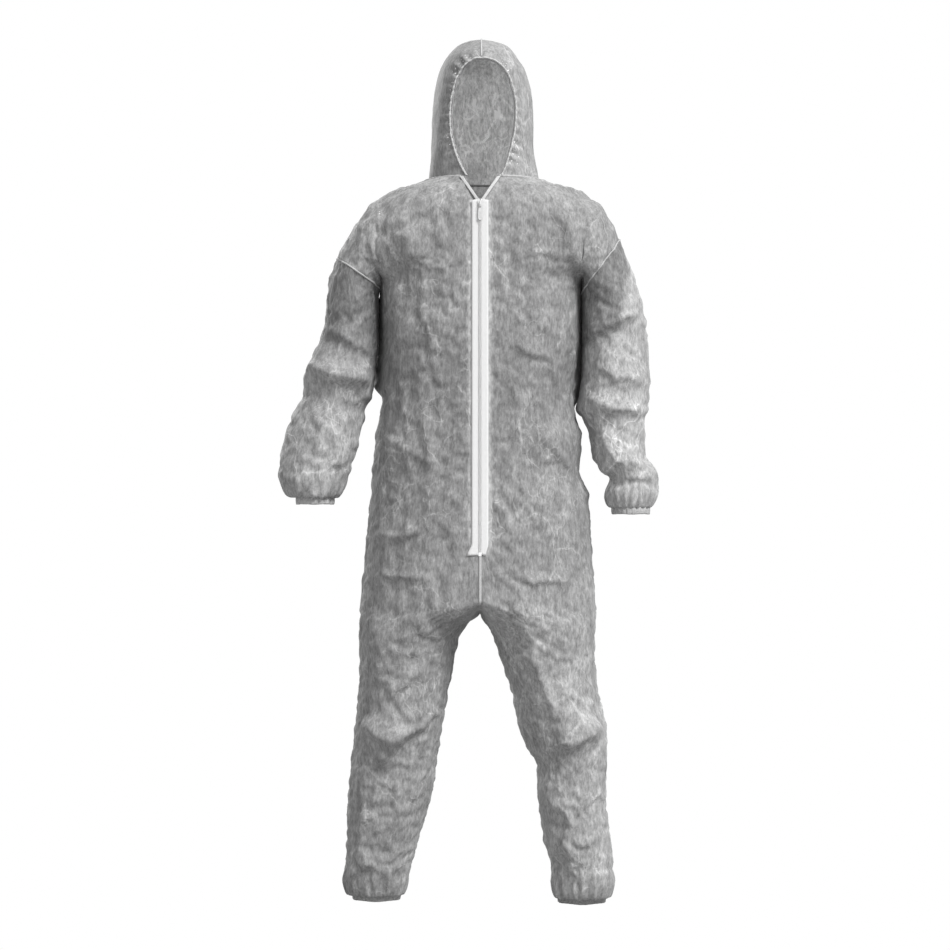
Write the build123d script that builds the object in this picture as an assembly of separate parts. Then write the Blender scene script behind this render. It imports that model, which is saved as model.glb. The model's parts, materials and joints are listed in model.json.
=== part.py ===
"""Hooded disposable protective suit, worn size, held at the wearer's shoulders.

Millimetres, +Z up, the front of the suit faces -Y. The origin is the middle of the neck seam, where the
wearer's shoulders carry the suit. Left and right are the wearer's: left is +X. The cloth is drawn as
faceted shells, each facet flat, so that every wall keeps its thickness.
"""

from build123d import *
from math import cos, hypot, pi, radians, sin
import os

# Cloth and clearances
WALL = 2.0            # thickness of the cloth solids
GAP = 0.3             # each body stays this far from the plane where it meets its neighbour
RIDGE = 1.4           # height of a seam ridge or elastic inside the cloth
SEAM_WIDTH = 5.0      # width of an overlocked seam allowance
SIDES = 16            # facets round a section

# Planes of the suit
CROTCH_Z = -871.0
WAIST_Z = -430.0
ELBOW_Z = -400.0
KNEE_Z = -1060.0
ARMHOLE_X = 205.0     # plane between the torso and each sleeve
ARMPIT_Z = -214.0
FRONT_Y = -150.0      # the front is flat and upright along the zip
MIDDLE_X = 2.0        # the hood sits a little to the wearer's left

# Motion
ELBOW_BEND = 90.0
KNEE_BEND = 75.0
HIP_BEND = 30.0
HOOD_BEND = 30.0
HOOD_HINGE_Y = -30.0

# Elastic openings
WRIST_R = 35.0        # inner radius of the wrist opening
ANKLE_R = 45.0        # inner radius of the ankle opening
HEM_LENGTH = 14.0
HEM_WALL = 1.0
ELASTIC_T = 1.6
ELASTIC_WIDTH = 8.0

# Zip
ZIP_TOP_Z = -53.0
ZIP_BOTTOM_Z = -749.0
TAPE_WIDTH = 13.0
TAPE_T = 0.7
CHAIN_INNER = 1.0     # each coil stops here, so that the slider's wedge can pass between them
CHAIN_OUTER = 3.0
CHAIN_T = 2.4
COLLAR_HALF = 37.0    # half the width of the V at the neck seam
PANEL_EDGE = 8.0      # the cloth stops this far from the zip's middle

# Sections: (z, centre x, half width, centre y, half depth), from the top down
TORSO = [
    (0, 8, 112, -6, 106),
    (-22, 14, 190, -7, 124),
    (-50, 12, 226, -8, 139),
    (-95, 8, 255, -4, 146),
    (-150, 5, 246, 0, 150),
    (-214, 3, 203, 0, 150),
    (-330, 3, 198, -2, 148),
    (-430, -3, 192, -8, 142),
    (-520, 0, 210, -4, 146),
    (-640, -2, 228, 1, 151),
    (-780, -3, 238, 0, 150),
    (CROTCH_Z, -4, 241, -5, 145),
]
HOOD = [
    (284, 5, 22, 0, 28),
    (270, 5, 47, -1, 66),
    (245, 4, 72, 0, 98),
    (221, 6, 85, 1, 112),
    (172, 7, 96, 4, 120),
    (124, 6, 101, 4, 121),
    (60, 5, 104, -1, 115),
    (0, 8, 112, -6, 106),
]
SLEEVE_LEFT = [
    (-38, 213, 16, 0, 26),
    (-60, 222, 38, 0, 56),
    (-120, 236, 48, 0, 78),
    (-200, 259, 53, 0, 82),
    (-290, 273, 61, -2, 77),
    (-340, 276, 65, -4, 75),
    (ELBOW_Z, 277, 68, -6, 73),
    (-461, 274, 63, -8, 68),
    (-510, 278, 56, -12, 64),
    (-558, 284, 55, -16, 60),
    (-607, 307, 53, -22, 57),
    (-640, 306, 49, -24, 52),
    (-662, 305, 38, -25, 38),
]
SLEEVE_RIGHT = [
    (-44, -213, 16, 0, 26),
    (-70, -222, 36, 0, 56),
    (-120, -231, 43, 0, 76),
    (-200, -255, 50, 0, 82),
    (-290, -262, 53, -4, 77),
    (-340, -268, 60, -7, 75),
    (ELBOW_Z, -281, 72, -11, 74),
    (-461, -286, 66, -17, 68),
    (-510, -311, 73, -25, 67),
    (-583, -331, 72, -38, 66),
    (-622, -334, 58, -43, 56),
    (-642, -332, 38, -45, 38),
]
LEG_LEFT = [
    (CROTCH_Z, 119, 113, -2, 132),
    (-948, 134, 95, -4, 116),
    (KNEE_Z, 156, 84, -7, 102),
    (-1143, 175, 81, -4, 94),
    (-1240, 186, 70, 2, 86),
    (-1338, 199, 67, 8, 80),
    (-1420, 208, 62, 10, 72),
    (-1450, 207, 48, 10, 48),
]
LEG_RIGHT = [
    (CROTCH_Z, -131, 109, -2, 132),
    (-948, -146, 98, -4, 116),
    (KNEE_Z, -155, 89, -7, 102),
    (-1143, -170, 88, -4, 94),
    (-1240, -182, 84, 2, 88),
    (-1338, -196, 72, 8, 80),
    (-1414, -211, 64, 10, 72),
    (-1444, -210, 48, 10, 48),
]
FACE_OUTLINE = [(35, 0), (49, 30), (58, 66), (62.5, 100), (62.5, 140), (57, 180), (44, 215), (24, 242), (0, 252)]

FAR = 900.0           # longer than any cut has to be


def section(station, inset, lowered=0.0):
    """Corners of one section: a polygon whose sides touch the ellipse, each moved in by inset."""
    z, cx, rx, cy, ry = station
    step = 2 * pi / SIDES
    reach = [hypot(rx * cos(i * step), ry * sin(i * step)) - inset for i in range(SIDES)]
    corners = []
    for i in range(SIDES):
        a, b = i * step, (i + 1) * step
        h, k = reach[i], reach[(i + 1) % SIDES]
        x = (h * sin(b) - k * sin(a)) / sin(step)
        y = (k * cos(a) - h * cos(b)) / sin(step)
        corners.append((cx + x, cy + y, z - lowered))
    return corners


def tube(stations, inset=0.0, drop_above=None):
    """Solid through the sections, made smaller by inset all round, with flat facets.

    Sections higher than drop_above also move down by inset, so that a sloping top keeps its thickness.
    """
    rings = []
    for station in stations:
        lowered = inset if drop_above is not None and station[0] > drop_above else 0.0
        rings.append(section(station, inset, lowered))
    faces = [Face(Wire.make_polygon(rings[0])), Face(Wire.make_polygon(rings[-1]))]
    for upper, lower in zip(rings, rings[1:]):
        for i in range(SIDES):
            j = (i + 1) % SIDES
            faces.append(Face(Wire.make_polygon([upper[i], upper[j], lower[j], lower[i]])))
    return Solid(Shell(faces))


def run_on(stations, at_top=False, at_bottom=False, by=8.0):
    """The stations with a repeat of an open end a little further out, so that a later cut leaves it clean."""
    out = list(stations)
    if at_top:
        z, *rest = out[0]
        out.insert(0, (z + by, *rest))
    if at_bottom:
        z, *rest = out[-1]
        out.append((z - by, *rest))
    return out


def capped(stations, thickness):
    """The stations with the closed top lowered by a thickness, for the inside of a closed end."""
    z, *rest = stations[0]
    return [(z - thickness, *rest), *stations[1:]]


def block(x0, x1, y0, y1, z0, z1):
    return Pos((x0 + x1) / 2, (y0 + y1) / 2, (z0 + z1) / 2) * Box(x1 - x0, y1 - y0, z1 - z0)


def slab(z0, z1):
    return block(-FAR, FAR, -FAR, FAR, z0, z1)


def prism_x(points, half_width=FAR, middle=0.0):
    """Prism from an outline in Y and Z, about a plane of constant X."""
    face = Face(Wire.make_polygon([(middle - half_width, y, z) for y, z in points]))
    return extrude(face, amount=2 * half_width, dir=(1, 0, 0))


def prism_y(points, y_front, y_back):
    """Prism from an outline in X and Z, between two depths."""
    face = Face(Wire.make_polygon([(x, y_front, z) for x, z in points]))
    return extrude(face, amount=y_back - y_front, dir=(0, 1, 0))


def wedge(y, z, towards, from_deg, to_deg):
    """Prism along X with its edge on (y, z), opening towards -1 (front) or +1 (back) between two angles."""
    reach = 400.0
    points = [(y, z)]
    for angle in (from_deg, to_deg):
        a = radians(angle)
        points.append((y + towards * reach * cos(a), z + reach * sin(a)))
    return prism_x(points)


def station_y(stations, z):
    """Centre y of the sections at a height."""
    return next(s[3] for s in stations if s[0] == z)


def write(name, shape):
    """Writes the shape's solids, without loose slivers."""
    os.makedirs("parts", exist_ok=True)
    solids = [s for s in shape.solids() if s.volume > 1.0]
    export_step(solids[0] if len(solids) == 1 else Compound(children=solids), f"parts/{name}.step")


def face_prism(grow, y_front=-400.0, y_back=-20.0):
    """Face hole along Y: an oval that narrows to the neck seam, made larger by grow all round."""
    half = [(x + grow, z) for x, z in FACE_OUTLINE[:-2]]
    half.append((FACE_OUTLINE[-2][0] + grow * 0.7, FACE_OUTLINE[-2][1] + grow * 0.7))
    half.append((0, FACE_OUTLINE[-1][1] + grow))
    left = [(MIDDLE_X + x, z) for x, z in half]
    right = [(MIDDLE_X - x, z) for x, z in reversed(half[:-1])]
    return prism_y([(left[0][0], -50), *left, *right, (right[-1][0], -50)], y_front, y_back)


def collar_v():
    """The open V between the top of the closed zip and the neck seam."""
    return prism_y([(0, ZIP_TOP_Z), (COLLAR_HALF, 0.5), (2 * MIDDLE_X - COLLAR_HALF, 0.5)], -400, -20)


def hood():
    stations = run_on(HOOD, at_bottom=True)
    outer = tube(stations)
    inner = tube(capped(stations, WALL), WALL, drop_above=240)
    keep = slab(GAP, FAR) - wedge(HOOD_HINGE_Y, 0, 1, -20, HOOD_BEND + 1)
    cloth = ((outer - inner) & keep) - face_prism(0)
    write("hood_left", cloth & block(MIDDLE_X, FAR, -FAR, FAR, 0, FAR))
    write("hood_right", cloth & block(-FAR, MIDDLE_X, -FAR, FAR, 0, FAR))

    lining = tube(capped(stations, WALL + 2 * RIDGE), WALL + RIDGE, drop_above=240)
    behind = tube(capped(stations, WALL + 3 * RIDGE), WALL + 2 * RIDGE, drop_above=240)
    front = slab(GAP + 1, FAR) & block(-FAR, FAR, -FAR, -20, 0, FAR)
    rim = (face_prism(10) - face_prism(1)) & front
    write("face_elastic", (inner - lining) & rim)
    write("face_hem", (lining - behind) & rim)
    crown = block(MIDDLE_X - SEAM_WIDTH / 2, MIDDLE_X + SEAM_WIDTH / 2, -FAR, FAR, 0, 400)
    write("hood_seam", ((inner - lining) & keep & crown) - face_prism(12))


def torso():
    outer = tube(run_on(TORSO, at_top=True))
    inner_stations = run_on(TORSO[:-1] + [(CROTCH_Z + WALL, *TORSO[-1][1:])], at_top=True)
    inner = tube(inner_stations, WALL, drop_above=-90)
    keep = block(-ARMHOLE_X, ARMHOLE_X, -FAR, FAR, -260, -GAP) + slab(CROTCH_Z, -259)
    keep -= wedge(0, CROTCH_Z, -1, 0, HIP_BEND / 2 + 1)
    zip_slot = block(-PANEL_EDGE, PANEL_EDGE, -FAR, -60, ZIP_BOTTOM_Z - 10, ZIP_TOP_Z + 20)
    shell = ((outer - inner) & keep) - collar_v() - zip_slot
    for z, *rest in (LEG_LEFT[0], LEG_RIGHT[0]):
        shell -= tube([(CROTCH_Z + 5, *rest), (CROTCH_Z - 5, *rest)], WALL + 1)
    write("torso_left", shell & block(0, FAR, -FAR, FAR, -FAR, FAR))
    write("torso_right", shell & block(-FAR, 0, -FAR, FAR, -FAR, FAR))

    lining = tube(inner_stations, WALL + RIDGE, drop_above=-90)
    inside = (inner - lining) & keep
    write("neck_seam", (inside & slab(-8, -GAP)) - collar_v())
    write("waist_elastic", inside & block(-170, 170, 20, FAR, WAIST_Z - 12, WAIST_Z + 12))
    seam = block(-SEAM_WIDTH / 2, SEAM_WIDTH / 2, -FAR, FAR, -FAR, FAR)
    write("front_seam", inside & seam & block(-9, 9, -FAR, 0, CROTCH_Z + 75, ZIP_BOTTOM_Z - 12))
    write("back_seam", inside & seam & block(-9, 9, 0, FAR, CROTCH_Z + 6, WAIST_Z - 13))
    for side, sign in (("left", 1), ("right", -1)):
        x0, x1 = sorted((sign * ARMHOLE_X, sign * (ARMHOLE_X - SEAM_WIDTH)))
        write(f"armhole_seam_{side}", inside & block(x0, x1, -FAR, FAR, ARMPIT_Z + 10, -10))


def cuff(kind, side, station, radius):
    """Hem casing with the elastic band inside it, both about an upright axis, below the end of a limb."""
    z, cx, _, cy, _ = station
    outer_r = radius + 2 * HEM_WALL + ELASTIC_T
    ring = Cylinder(outer_r, HEM_LENGTH) - Cylinder(radius, HEM_LENGTH)
    band = Cylinder(outer_r - HEM_WALL, ELASTIC_WIDTH) - Cylinder(radius + HEM_WALL, ELASTIC_WIDTH)
    place = Pos(cx, cy, z - HEM_LENGTH / 2)
    write(f"{kind}_hem_{side}", place * (ring - band))
    write(f"{kind}_elastic_{side}", place * band)


def limb(stations, bend_z, bend, towards, keep, closed_top=False):
    """Shell of a limb, split at its bend into an upper and a lower part."""
    outer = tube(run_on(stations, at_top=not closed_top, at_bottom=True))
    inside = capped(stations, WALL) if closed_top else stations
    inner = tube(run_on(inside, at_top=not closed_top, at_bottom=True), WALL)
    shell = (outer - inner) & slab(stations[-1][0], FAR) & keep
    fold = wedge(station_y(stations, bend_z), bend_z, towards, -bend / 2 - 1, bend / 2 + 1)
    upper = (shell & slab(bend_z + GAP, FAR)) - fold
    lower = (shell & slab(-2000, bend_z - GAP)) - fold
    return upper, lower


def sleeves():
    for side, sign, stations in (("left", 1, SLEEVE_LEFT), ("right", -1, SLEEVE_RIGHT)):
        x0, x1 = sorted((sign * ARMHOLE_X, sign * FAR))
        outside = block(x0, x1, -FAR, FAR, -FAR, FAR)
        upper, lower = limb(stations, ELBOW_Z, ELBOW_BEND, -1, outside, closed_top=True)
        write(f"sleeve_upper_{side}", upper)
        write(f"sleeve_lower_{side}", lower)
        cuff("wrist", side, stations[-1], WRIST_R)


def legs():
    for side, stations in (("left", LEG_LEFT), ("right", LEG_RIGHT)):
        below = slab(-2000, CROTCH_Z - 2 * GAP) - wedge(0, CROTCH_Z, -1, -HIP_BEND / 2 - 1, 0)
        upper, lower = limb(stations, KNEE_Z, KNEE_BEND, 1, below)
        write(f"leg_upper_{side}", upper)
        write(f"leg_lower_{side}", lower)
        cuff("ankle", side, stations[-1], ANKLE_R)


def collar_tape(sign):
    """Free part of a zip tape: from the top of the closed zip along the V, up to the neck seam."""
    course = [(0.0, -151.0, ZIP_TOP_Z), (21.0, -134.0, -22.0), (35.0, -116.0, -1.0)]
    rings = []
    for lean, y, z in course:
        x0 = sign * CHAIN_OUTER + sign * lean
        x1 = x0 + sign * TAPE_WIDTH
        rings.append([(x0, y, z), (x1, y, z), (x1, y + TAPE_T, z), (x0, y + TAPE_T, z)])
    faces = [Face(Wire.make_polygon(rings[0])), Face(Wire.make_polygon(rings[-1]))]
    for low, high in zip(rings, rings[1:]):
        for i in range(4):
            j = (i + 1) % 4
            faces.append(Face(Wire.make_polygon([low[i], low[j], high[j], high[i]])))
    return Solid(Shell(faces))


def zip_fastener():
    tape_back = FRONT_Y - GAP
    tape_front = tape_back - TAPE_T
    chain_back = tape_back + 0.6
    chain_front = chain_back - CHAIN_T
    for side, sign in (("left", 1), ("right", -1)):
        x0, x1 = sorted((sign * CHAIN_OUTER, sign * (CHAIN_OUTER + TAPE_WIDTH)))
        tape = block(x0, x1, tape_front, tape_back, ZIP_BOTTOM_Z - 12, ZIP_TOP_Z)
        write(f"zip_tape_{side}", tape + collar_tape(sign))
        x0, x1 = sorted((sign * CHAIN_INNER, sign * CHAIN_OUTER))
        write(f"zip_chain_{side}", block(x0, x1, chain_front, chain_back, ZIP_BOTTOM_Z, ZIP_TOP_Z))
        stop = block(x0, x1, chain_front, chain_back, ZIP_TOP_Z, ZIP_TOP_Z + 3)
        write(f"zip_top_stop_{side}", stop)
    stop = block(-CHAIN_OUTER, CHAIN_OUTER, chain_front, chain_back, ZIP_BOTTOM_Z - 8, ZIP_BOTTOM_Z)
    write("zip_bottom_stop", stop)
    slider_and_tab(chain_back, chain_front)


def slider_and_tab(chain_back, chain_front):
    """Slider round the chain, with a bridge; the tab's cross bar turns under the bridge."""
    half_w, half_l, plate, clear = 5.4, 6.5, 1.2, 0.35
    mid_z = ZIP_TOP_Z - half_l - 1
    front_in = chain_front - clear
    back_in = chain_back + clear
    arch_y = front_in - plate
    front = block(-half_w, half_w, arch_y, front_in, mid_z - half_l, mid_z + half_l)
    back = block(-half_w, half_w, back_in, back_in + plate, mid_z - half_l, mid_z + half_l)
    dividing_wedge = block(-0.65, 0.65, front_in, back_in, mid_z + half_l - 3, mid_z + half_l)
    arch = block(-1.0, 1.0, arch_y - 4.6, arch_y, mid_z - 5, mid_z + 5)
    arch -= block(-2, 2, arch_y - 3.4, arch_y, mid_z - 3.6, mid_z + 3.6)
    write("zip_slider", front + back + dividing_wedge + arch)

    bar_y = arch_y - 1.8
    tab = Pos(0, bar_y, mid_z) * Rot(0, 90, 0) * Cylinder(1.0, 6.0)
    for x0, x1 in ((-3.0, -1.5), (1.5, 3.0)):
        tab += block(x0, x1, bar_y - 0.6, bar_y + 0.6, mid_z - 9, mid_z)
    tab += block(-4, 4, bar_y - 0.6, bar_y + 0.6, mid_z - 32, mid_z - 8)
    for i in range(5):
        z = mid_z - 14 - i * 3
        tab += block(-2.8, 2.8, bar_y - 0.9, bar_y - 0.6, z - 0.6, z + 0.6)
    write("zip_pull_tab", tab)


torso()
hood()
sleeves()
legs()
zip_fastener()
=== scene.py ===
import bpy
import bmesh
import json
import numpy as np
from math import cos, pi, sin, radians
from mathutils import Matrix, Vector, noise
from mathutils.kdtree import KDTree


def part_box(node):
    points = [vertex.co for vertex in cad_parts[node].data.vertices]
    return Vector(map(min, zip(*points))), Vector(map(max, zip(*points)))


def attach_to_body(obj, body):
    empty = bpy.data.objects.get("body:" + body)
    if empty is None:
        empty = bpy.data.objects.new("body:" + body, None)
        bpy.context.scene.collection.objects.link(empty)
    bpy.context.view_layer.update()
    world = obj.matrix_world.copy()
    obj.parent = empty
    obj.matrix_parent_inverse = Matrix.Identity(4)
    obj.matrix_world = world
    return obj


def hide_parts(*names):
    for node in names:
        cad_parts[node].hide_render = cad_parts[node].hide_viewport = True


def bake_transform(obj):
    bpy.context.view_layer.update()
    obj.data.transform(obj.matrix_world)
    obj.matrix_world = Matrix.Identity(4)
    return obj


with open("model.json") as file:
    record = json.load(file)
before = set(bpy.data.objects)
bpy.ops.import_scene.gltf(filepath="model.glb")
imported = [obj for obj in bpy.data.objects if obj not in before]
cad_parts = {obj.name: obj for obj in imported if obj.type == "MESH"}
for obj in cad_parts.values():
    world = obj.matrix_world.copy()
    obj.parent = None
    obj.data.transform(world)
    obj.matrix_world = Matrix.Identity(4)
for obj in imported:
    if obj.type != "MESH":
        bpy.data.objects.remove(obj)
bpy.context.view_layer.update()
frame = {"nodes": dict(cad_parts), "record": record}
MM = 0.001

# ---------------------------------------------------------------- positions read from the CAD
LEFT, RIGHT = 1, -1
SIDE = {LEFT: "left", RIGHT: "right"}
SPAN = {n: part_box(n) for n in frame["nodes"]}
CROTCH = SPAN["torso_left"][0][2]
ZIP_TOP = SPAN["zip_chain_left"][1][2]
ZIP_BOTTOM = SPAN["zip_chain_left"][0][2]
FRONT = SPAN["torso_left"][0][1]
HEM_BOX = {k + "_" + s: SPAN[f"{k}_hem_{s}"] for k in ("wrist", "ankle") for s in SIDE.values()}
JOINT = {j["name"]: j for j in frame["record"]["behaviour"]["joints"]}
ARMHOLE_X = SPAN["armhole_seam_left"][1][0]
COLLAR_HALF = 0.037
CELL = 0.009          # size of the net's cells before they are divided
CLOTH_T = 0.0008
ARMPIT_Z = -0.235
# Rings of the shoulder that are cut in one piece with the torso, above the dropped armhole
DROP_RINGS = {LEFT: 13, RIGHT: 16}
# Height at which each arm, going down, leaves the side of the body
ARM_LEAVES = {LEFT: -0.440, RIGHT: -0.415}
# How far the inner side of each sleeve is drawn toward the body just below the armpit
ARM_DRAWN_IN = {LEFT: 0.0028, RIGHT: 0.0092}
# Powers of the ovals: 2 is an ellipse, more is squarer
BODY_POWER, LEG_POWER, HOOD_POWER = 2.2, 2.1, 2.15

# Sections in millimetres: z, centre x, half width, centre y, half depth. The widths follow the outline in the
# photograph, and the depths are assumed.
TORSO = [
    (0, 8, 112, -6, 106), (-12, 11, 150, -6, 113), (-22, 14, 186, -7, 124), (-50, 12, 226, -8, 139),
    (-95, 8, 255, -4, 146), (-150, 5, 246, 0, 150), (-208, 3, 203, 0, 150), (-330, 3, 198, -2, 148),
    (-430, -4, 191, -8, 142), (-480, -4, 198, -6, 144), (-520, -2, 207, -4, 146), (-590, -8, 209, -1, 149),
    (-640, -1, 219, 1, 151), (-780, -3, 231, 0, 150), (-871, -4, 238, -5, 145),
]
HOOD = [
    (284, 5, 14, 0, 18), (281, 5, 28, 0, 36), (270, 5, 52, -1, 66), (245, 4, 74, 0, 98), (221, 6, 87, 1, 112),
    (172, 7, 98, 4, 120), (124, 6, 102, 4, 121), (60, 5, 104, -1, 115), (0, 8, 112, -6, 106),
]
SLEEVE = {
    LEFT: [
        (-330, 273, 66, -4, 76), (-363, 274, 67, -5, 75), (-400, 276, 69, -6, 74), (-436, 272, 71, -7, 71),
        (-461, 267, 72, -8, 69), (-485, 272, 61, -10, 67), (-510, 277, 56, -12, 64), (-558, 282, 55, -16, 60),
        (-583, 297, 56, -20, 57), (-607, 311, 49, -22, 50), (-631, 307, 52, -24, 50), (-650, 304, 44, -25, 42),
        (-662, 305, 38, -25, 38),
    ],
    RIGHT: [
        (-330, -266, 60, -7, 76), (-363, -276, 66, -9, 75), (-400, -284, 72, -11, 74), (-436, -287, 70, -13, 71),
        (-461, -300, 69, -16, 69), (-485, -309, 74, -20, 67), (-534, -322, 75, -28, 67), (-583, -332, 73, -36, 64),
        (-612, -336, 66, -42, 58), (-630, -335, 52, -44, 48), (-642, -332, 38, -45, 38),
    ],
}
# Outer line of the shoulder and upper arm in millimetres: distance from the middle, z
SHOULDER = {
    LEFT: [
        (205, -33), (225, -40), (242, -50), (270, -95), (292, -144), (311, -193), (325, -242), (335, -290),
        (339, -330),
    ],
    RIGHT: [
        (205, -36), (222, -52), (236, -72), (254, -95), (282, -144), (302, -193), (311, -242), (314, -290),
        (326, -330),
    ],
}
LEG = {
    LEFT: [
        (-871, 119, 116, -2, 134), (-899, 127, 107, -3, 126), (-948, 134, 97, -4, 116), (-997, 143, 90, -6, 108),
        (-1045, 154, 86, -8, 103), (-1094, 165, 88, -7, 99), (-1143, 175, 80, -4, 94), (-1190, 186, 69, 0, 90),
        (-1240, 186, 68, 2, 86), (-1338, 198, 66, 8, 80), (-1390, 208, 62, 10, 76), (-1420, 209, 63, 10, 72),
        (-1440, 209, 57, 10, 60), (-1450, 207, 48, 10, 48),
    ],
    RIGHT: [
        (-871, -131, 112, -2, 134), (-899, -141, 104, -3, 126), (-948, -146, 98, -4, 116), (-997, -150, 93, -6, 108),
        (-1045, -157, 89, -8, 103), (-1094, -163, 88, -7, 99), (-1143, -170, 86, -4, 94), (-1190, -176, 85, 0, 90),
        (-1240, -182, 84, 2, 88), (-1338, -198, 72, 8, 80), (-1390, -206, 66, 10, 76), (-1414, -211, 66, 10, 72),
        (-1434, -212, 58, 10, 60), (-1444, -210, 48, 10, 48),
    ],
}


# ---------------------------------------------------------------- small tools
def smooth(t):
    t = np.clip(t, 0.0, 1.0)
    return t * t * (3 - 2 * t)


def profile(table, z):
    """Smooth reading of a table of sections at the heights z, in metres: columns cx, rx, cy, ry."""
    t = np.array(sorted(table), float) * MM
    zs = t[:, 0]
    z = np.clip(np.asarray(z, float), zs[0], zs[-1])
    out = []
    for c in range(1, t.shape[1]):
        v = t[:, c]
        d = np.diff(v) / np.diff(zs)
        mean = 2 * d[1:] * d[:-1] / (d[1:] + d[:-1] + 1e-12)
        m = np.concatenate(([d[0]], np.where(d[1:] * d[:-1] > 0, mean, 0), [d[-1]]))
        i = np.clip(np.searchsorted(zs, z, side="right") - 1, 0, len(zs) - 2)
        h = zs[i + 1] - zs[i]
        s = (z - zs[i]) / h
        out.append(
            (2 * s**3 - 3 * s**2 + 1) * v[i] + (s**3 - 2 * s**2 + s) * h * m[i]
            + (-2 * s**3 + 3 * s**2) * v[i + 1] + (s**3 - s**2) * h * m[i + 1]
        )
    return np.stack(out, -1)


def heights(table, start, end, step):
    """Heights from start down to end, evenly spaced along the side of the shape."""
    fine = np.linspace(start, end, 800)
    p = profile(table, fine)
    d = np.hypot(np.diff(fine), np.diff(p[:, 0] + p[:, 1]))
    s = np.concatenate(([0], np.cumsum(d)))
    n = max(2, int(round(s[-1] / step)) + 1)
    return np.interp(np.linspace(0, s[-1], n), s, fine)


def even(points, n):
    """n points evenly spaced along a line of points."""
    points = np.asarray(points, float)
    s = np.concatenate(([0], np.cumsum(np.linalg.norm(np.diff(points, axis=0), axis=1))))
    t = np.linspace(0, s[-1], n)
    return np.stack([np.interp(t, s, points[:, k]) for k in range(points.shape[1])], -1)


def oval(a0, a1, rx, ry, power=BODY_POWER, n=240):
    """Points on an oval about the origin, from one angle to another."""
    a = np.linspace(a0, a1, n)
    c, s = np.cos(a), np.sin(a)
    return np.stack([rx * np.sign(c) * np.abs(c) ** (2 / power), ry * np.sign(s) * np.abs(s) ** (2 / power)], -1)


def centre_of(span):
    return (np.array(span[0]) + np.array(span[1])) / 2


def beside_arm(x, z, width):
    """From 0 to 1: how much a place lies where the sleeve rests against the body."""
    upright = smooth((-0.18 - z) / 0.03) * (1 - smooth((-0.45 - z) / 0.05))
    return np.exp(-(((np.abs(x) - 0.203) / width) ** 2)) * upright


def tree_of(points):
    tree = KDTree(len(points))
    for i, v in enumerate(points):
        tree.insert(v, i)
    tree.balance()
    return tree


def place(name, data):
    """Object in the scene that holds the given mesh, light or camera."""
    ob = bpy.data.objects.new(name, data)
    bpy.context.scene.collection.objects.link(ob)
    return ob


def turn_outward(mesh, bevel=0.0):
    """Makes a closed mesh's faces point outward, and rounds its edges."""
    bm = bmesh.new()
    bm.from_mesh(mesh)
    bmesh.ops.recalc_face_normals(bm, faces=bm.faces)
    if bevel:
        bmesh.ops.bevel(bm, geom=bm.edges[:], offset=bevel, segments=2, affect="EDGES", profile=0.6)
    bm.to_mesh(mesh)
    bm.free()


def new_object(name, verts, faces):
    mesh = bpy.data.meshes.new(name)
    mesh.from_pydata([tuple(v) for v in verts], [], [tuple(f) for f in faces])
    mesh.validate()
    return place(name, mesh)


def fractal(points, scale, octaves=3, seed=0.0, stretch=(1, 1, 1)):
    """Noise at each point, about -1 to 1. scale is the wavelength in metres."""
    q = points * (np.array(stretch) / scale) + seed
    return np.array([noise.fractal(Vector(p), 0.9, 2.1, octaves) for p in q])


def creases(points, scale, seed=0.0, stretch=(1, 1, 1), sharp=2.0):
    """Thin ridges from 0 to 1 along the walls between noise cells."""
    q = points * (np.array(stretch) / scale) + seed
    out = np.empty(len(q))
    for i, p in enumerate(q):
        d = noise.voronoi(Vector(p))[0]
        out[i] = 1.0 - min(1.0, (d[1] - d[0]) * sharp)
    return out**2


# ---------------------------------------------------------------- the suit's body as one net of cloth
verts, faces, tags = [], [], []
PARTS = [f"{part}_{s}" for part in ("torso", "sleeve", "thigh", "shin") for s in SIDE.values()]
TAG = {n: i for i, n in enumerate(PARTS)}
THIGH_END = (CROTCH + JOINT["knee_bend_left"]["pos_m"][2]) / 2 - 0.01


def slump(z, end, most):
    """How far the cloth just above a gathered end sinks, so that it hangs over the elastic."""
    return most * float(smooth((z - end) / 0.008)) * np.exp(-(((z - end - 0.013) / 0.011) ** 2))


def add_rings(rings, closed, tag_of):
    """Adds rows of cells between rings of points to the net. tag_of gives the part that each row belongs to."""
    base = len(verts)
    n = len(rings[0])
    for ring in rings:
        verts.extend(ring)
    for r in range(len(rings) - 1):
        for c in range(n if closed else n - 1):
            d = (c + 1) % n
            face = (base + r * n + c, base + r * n + d, base + (r + 1) * n + d, base + (r + 1) * n + c)
            faces.append(face)
            tags.append(tag_of(r))


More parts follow.
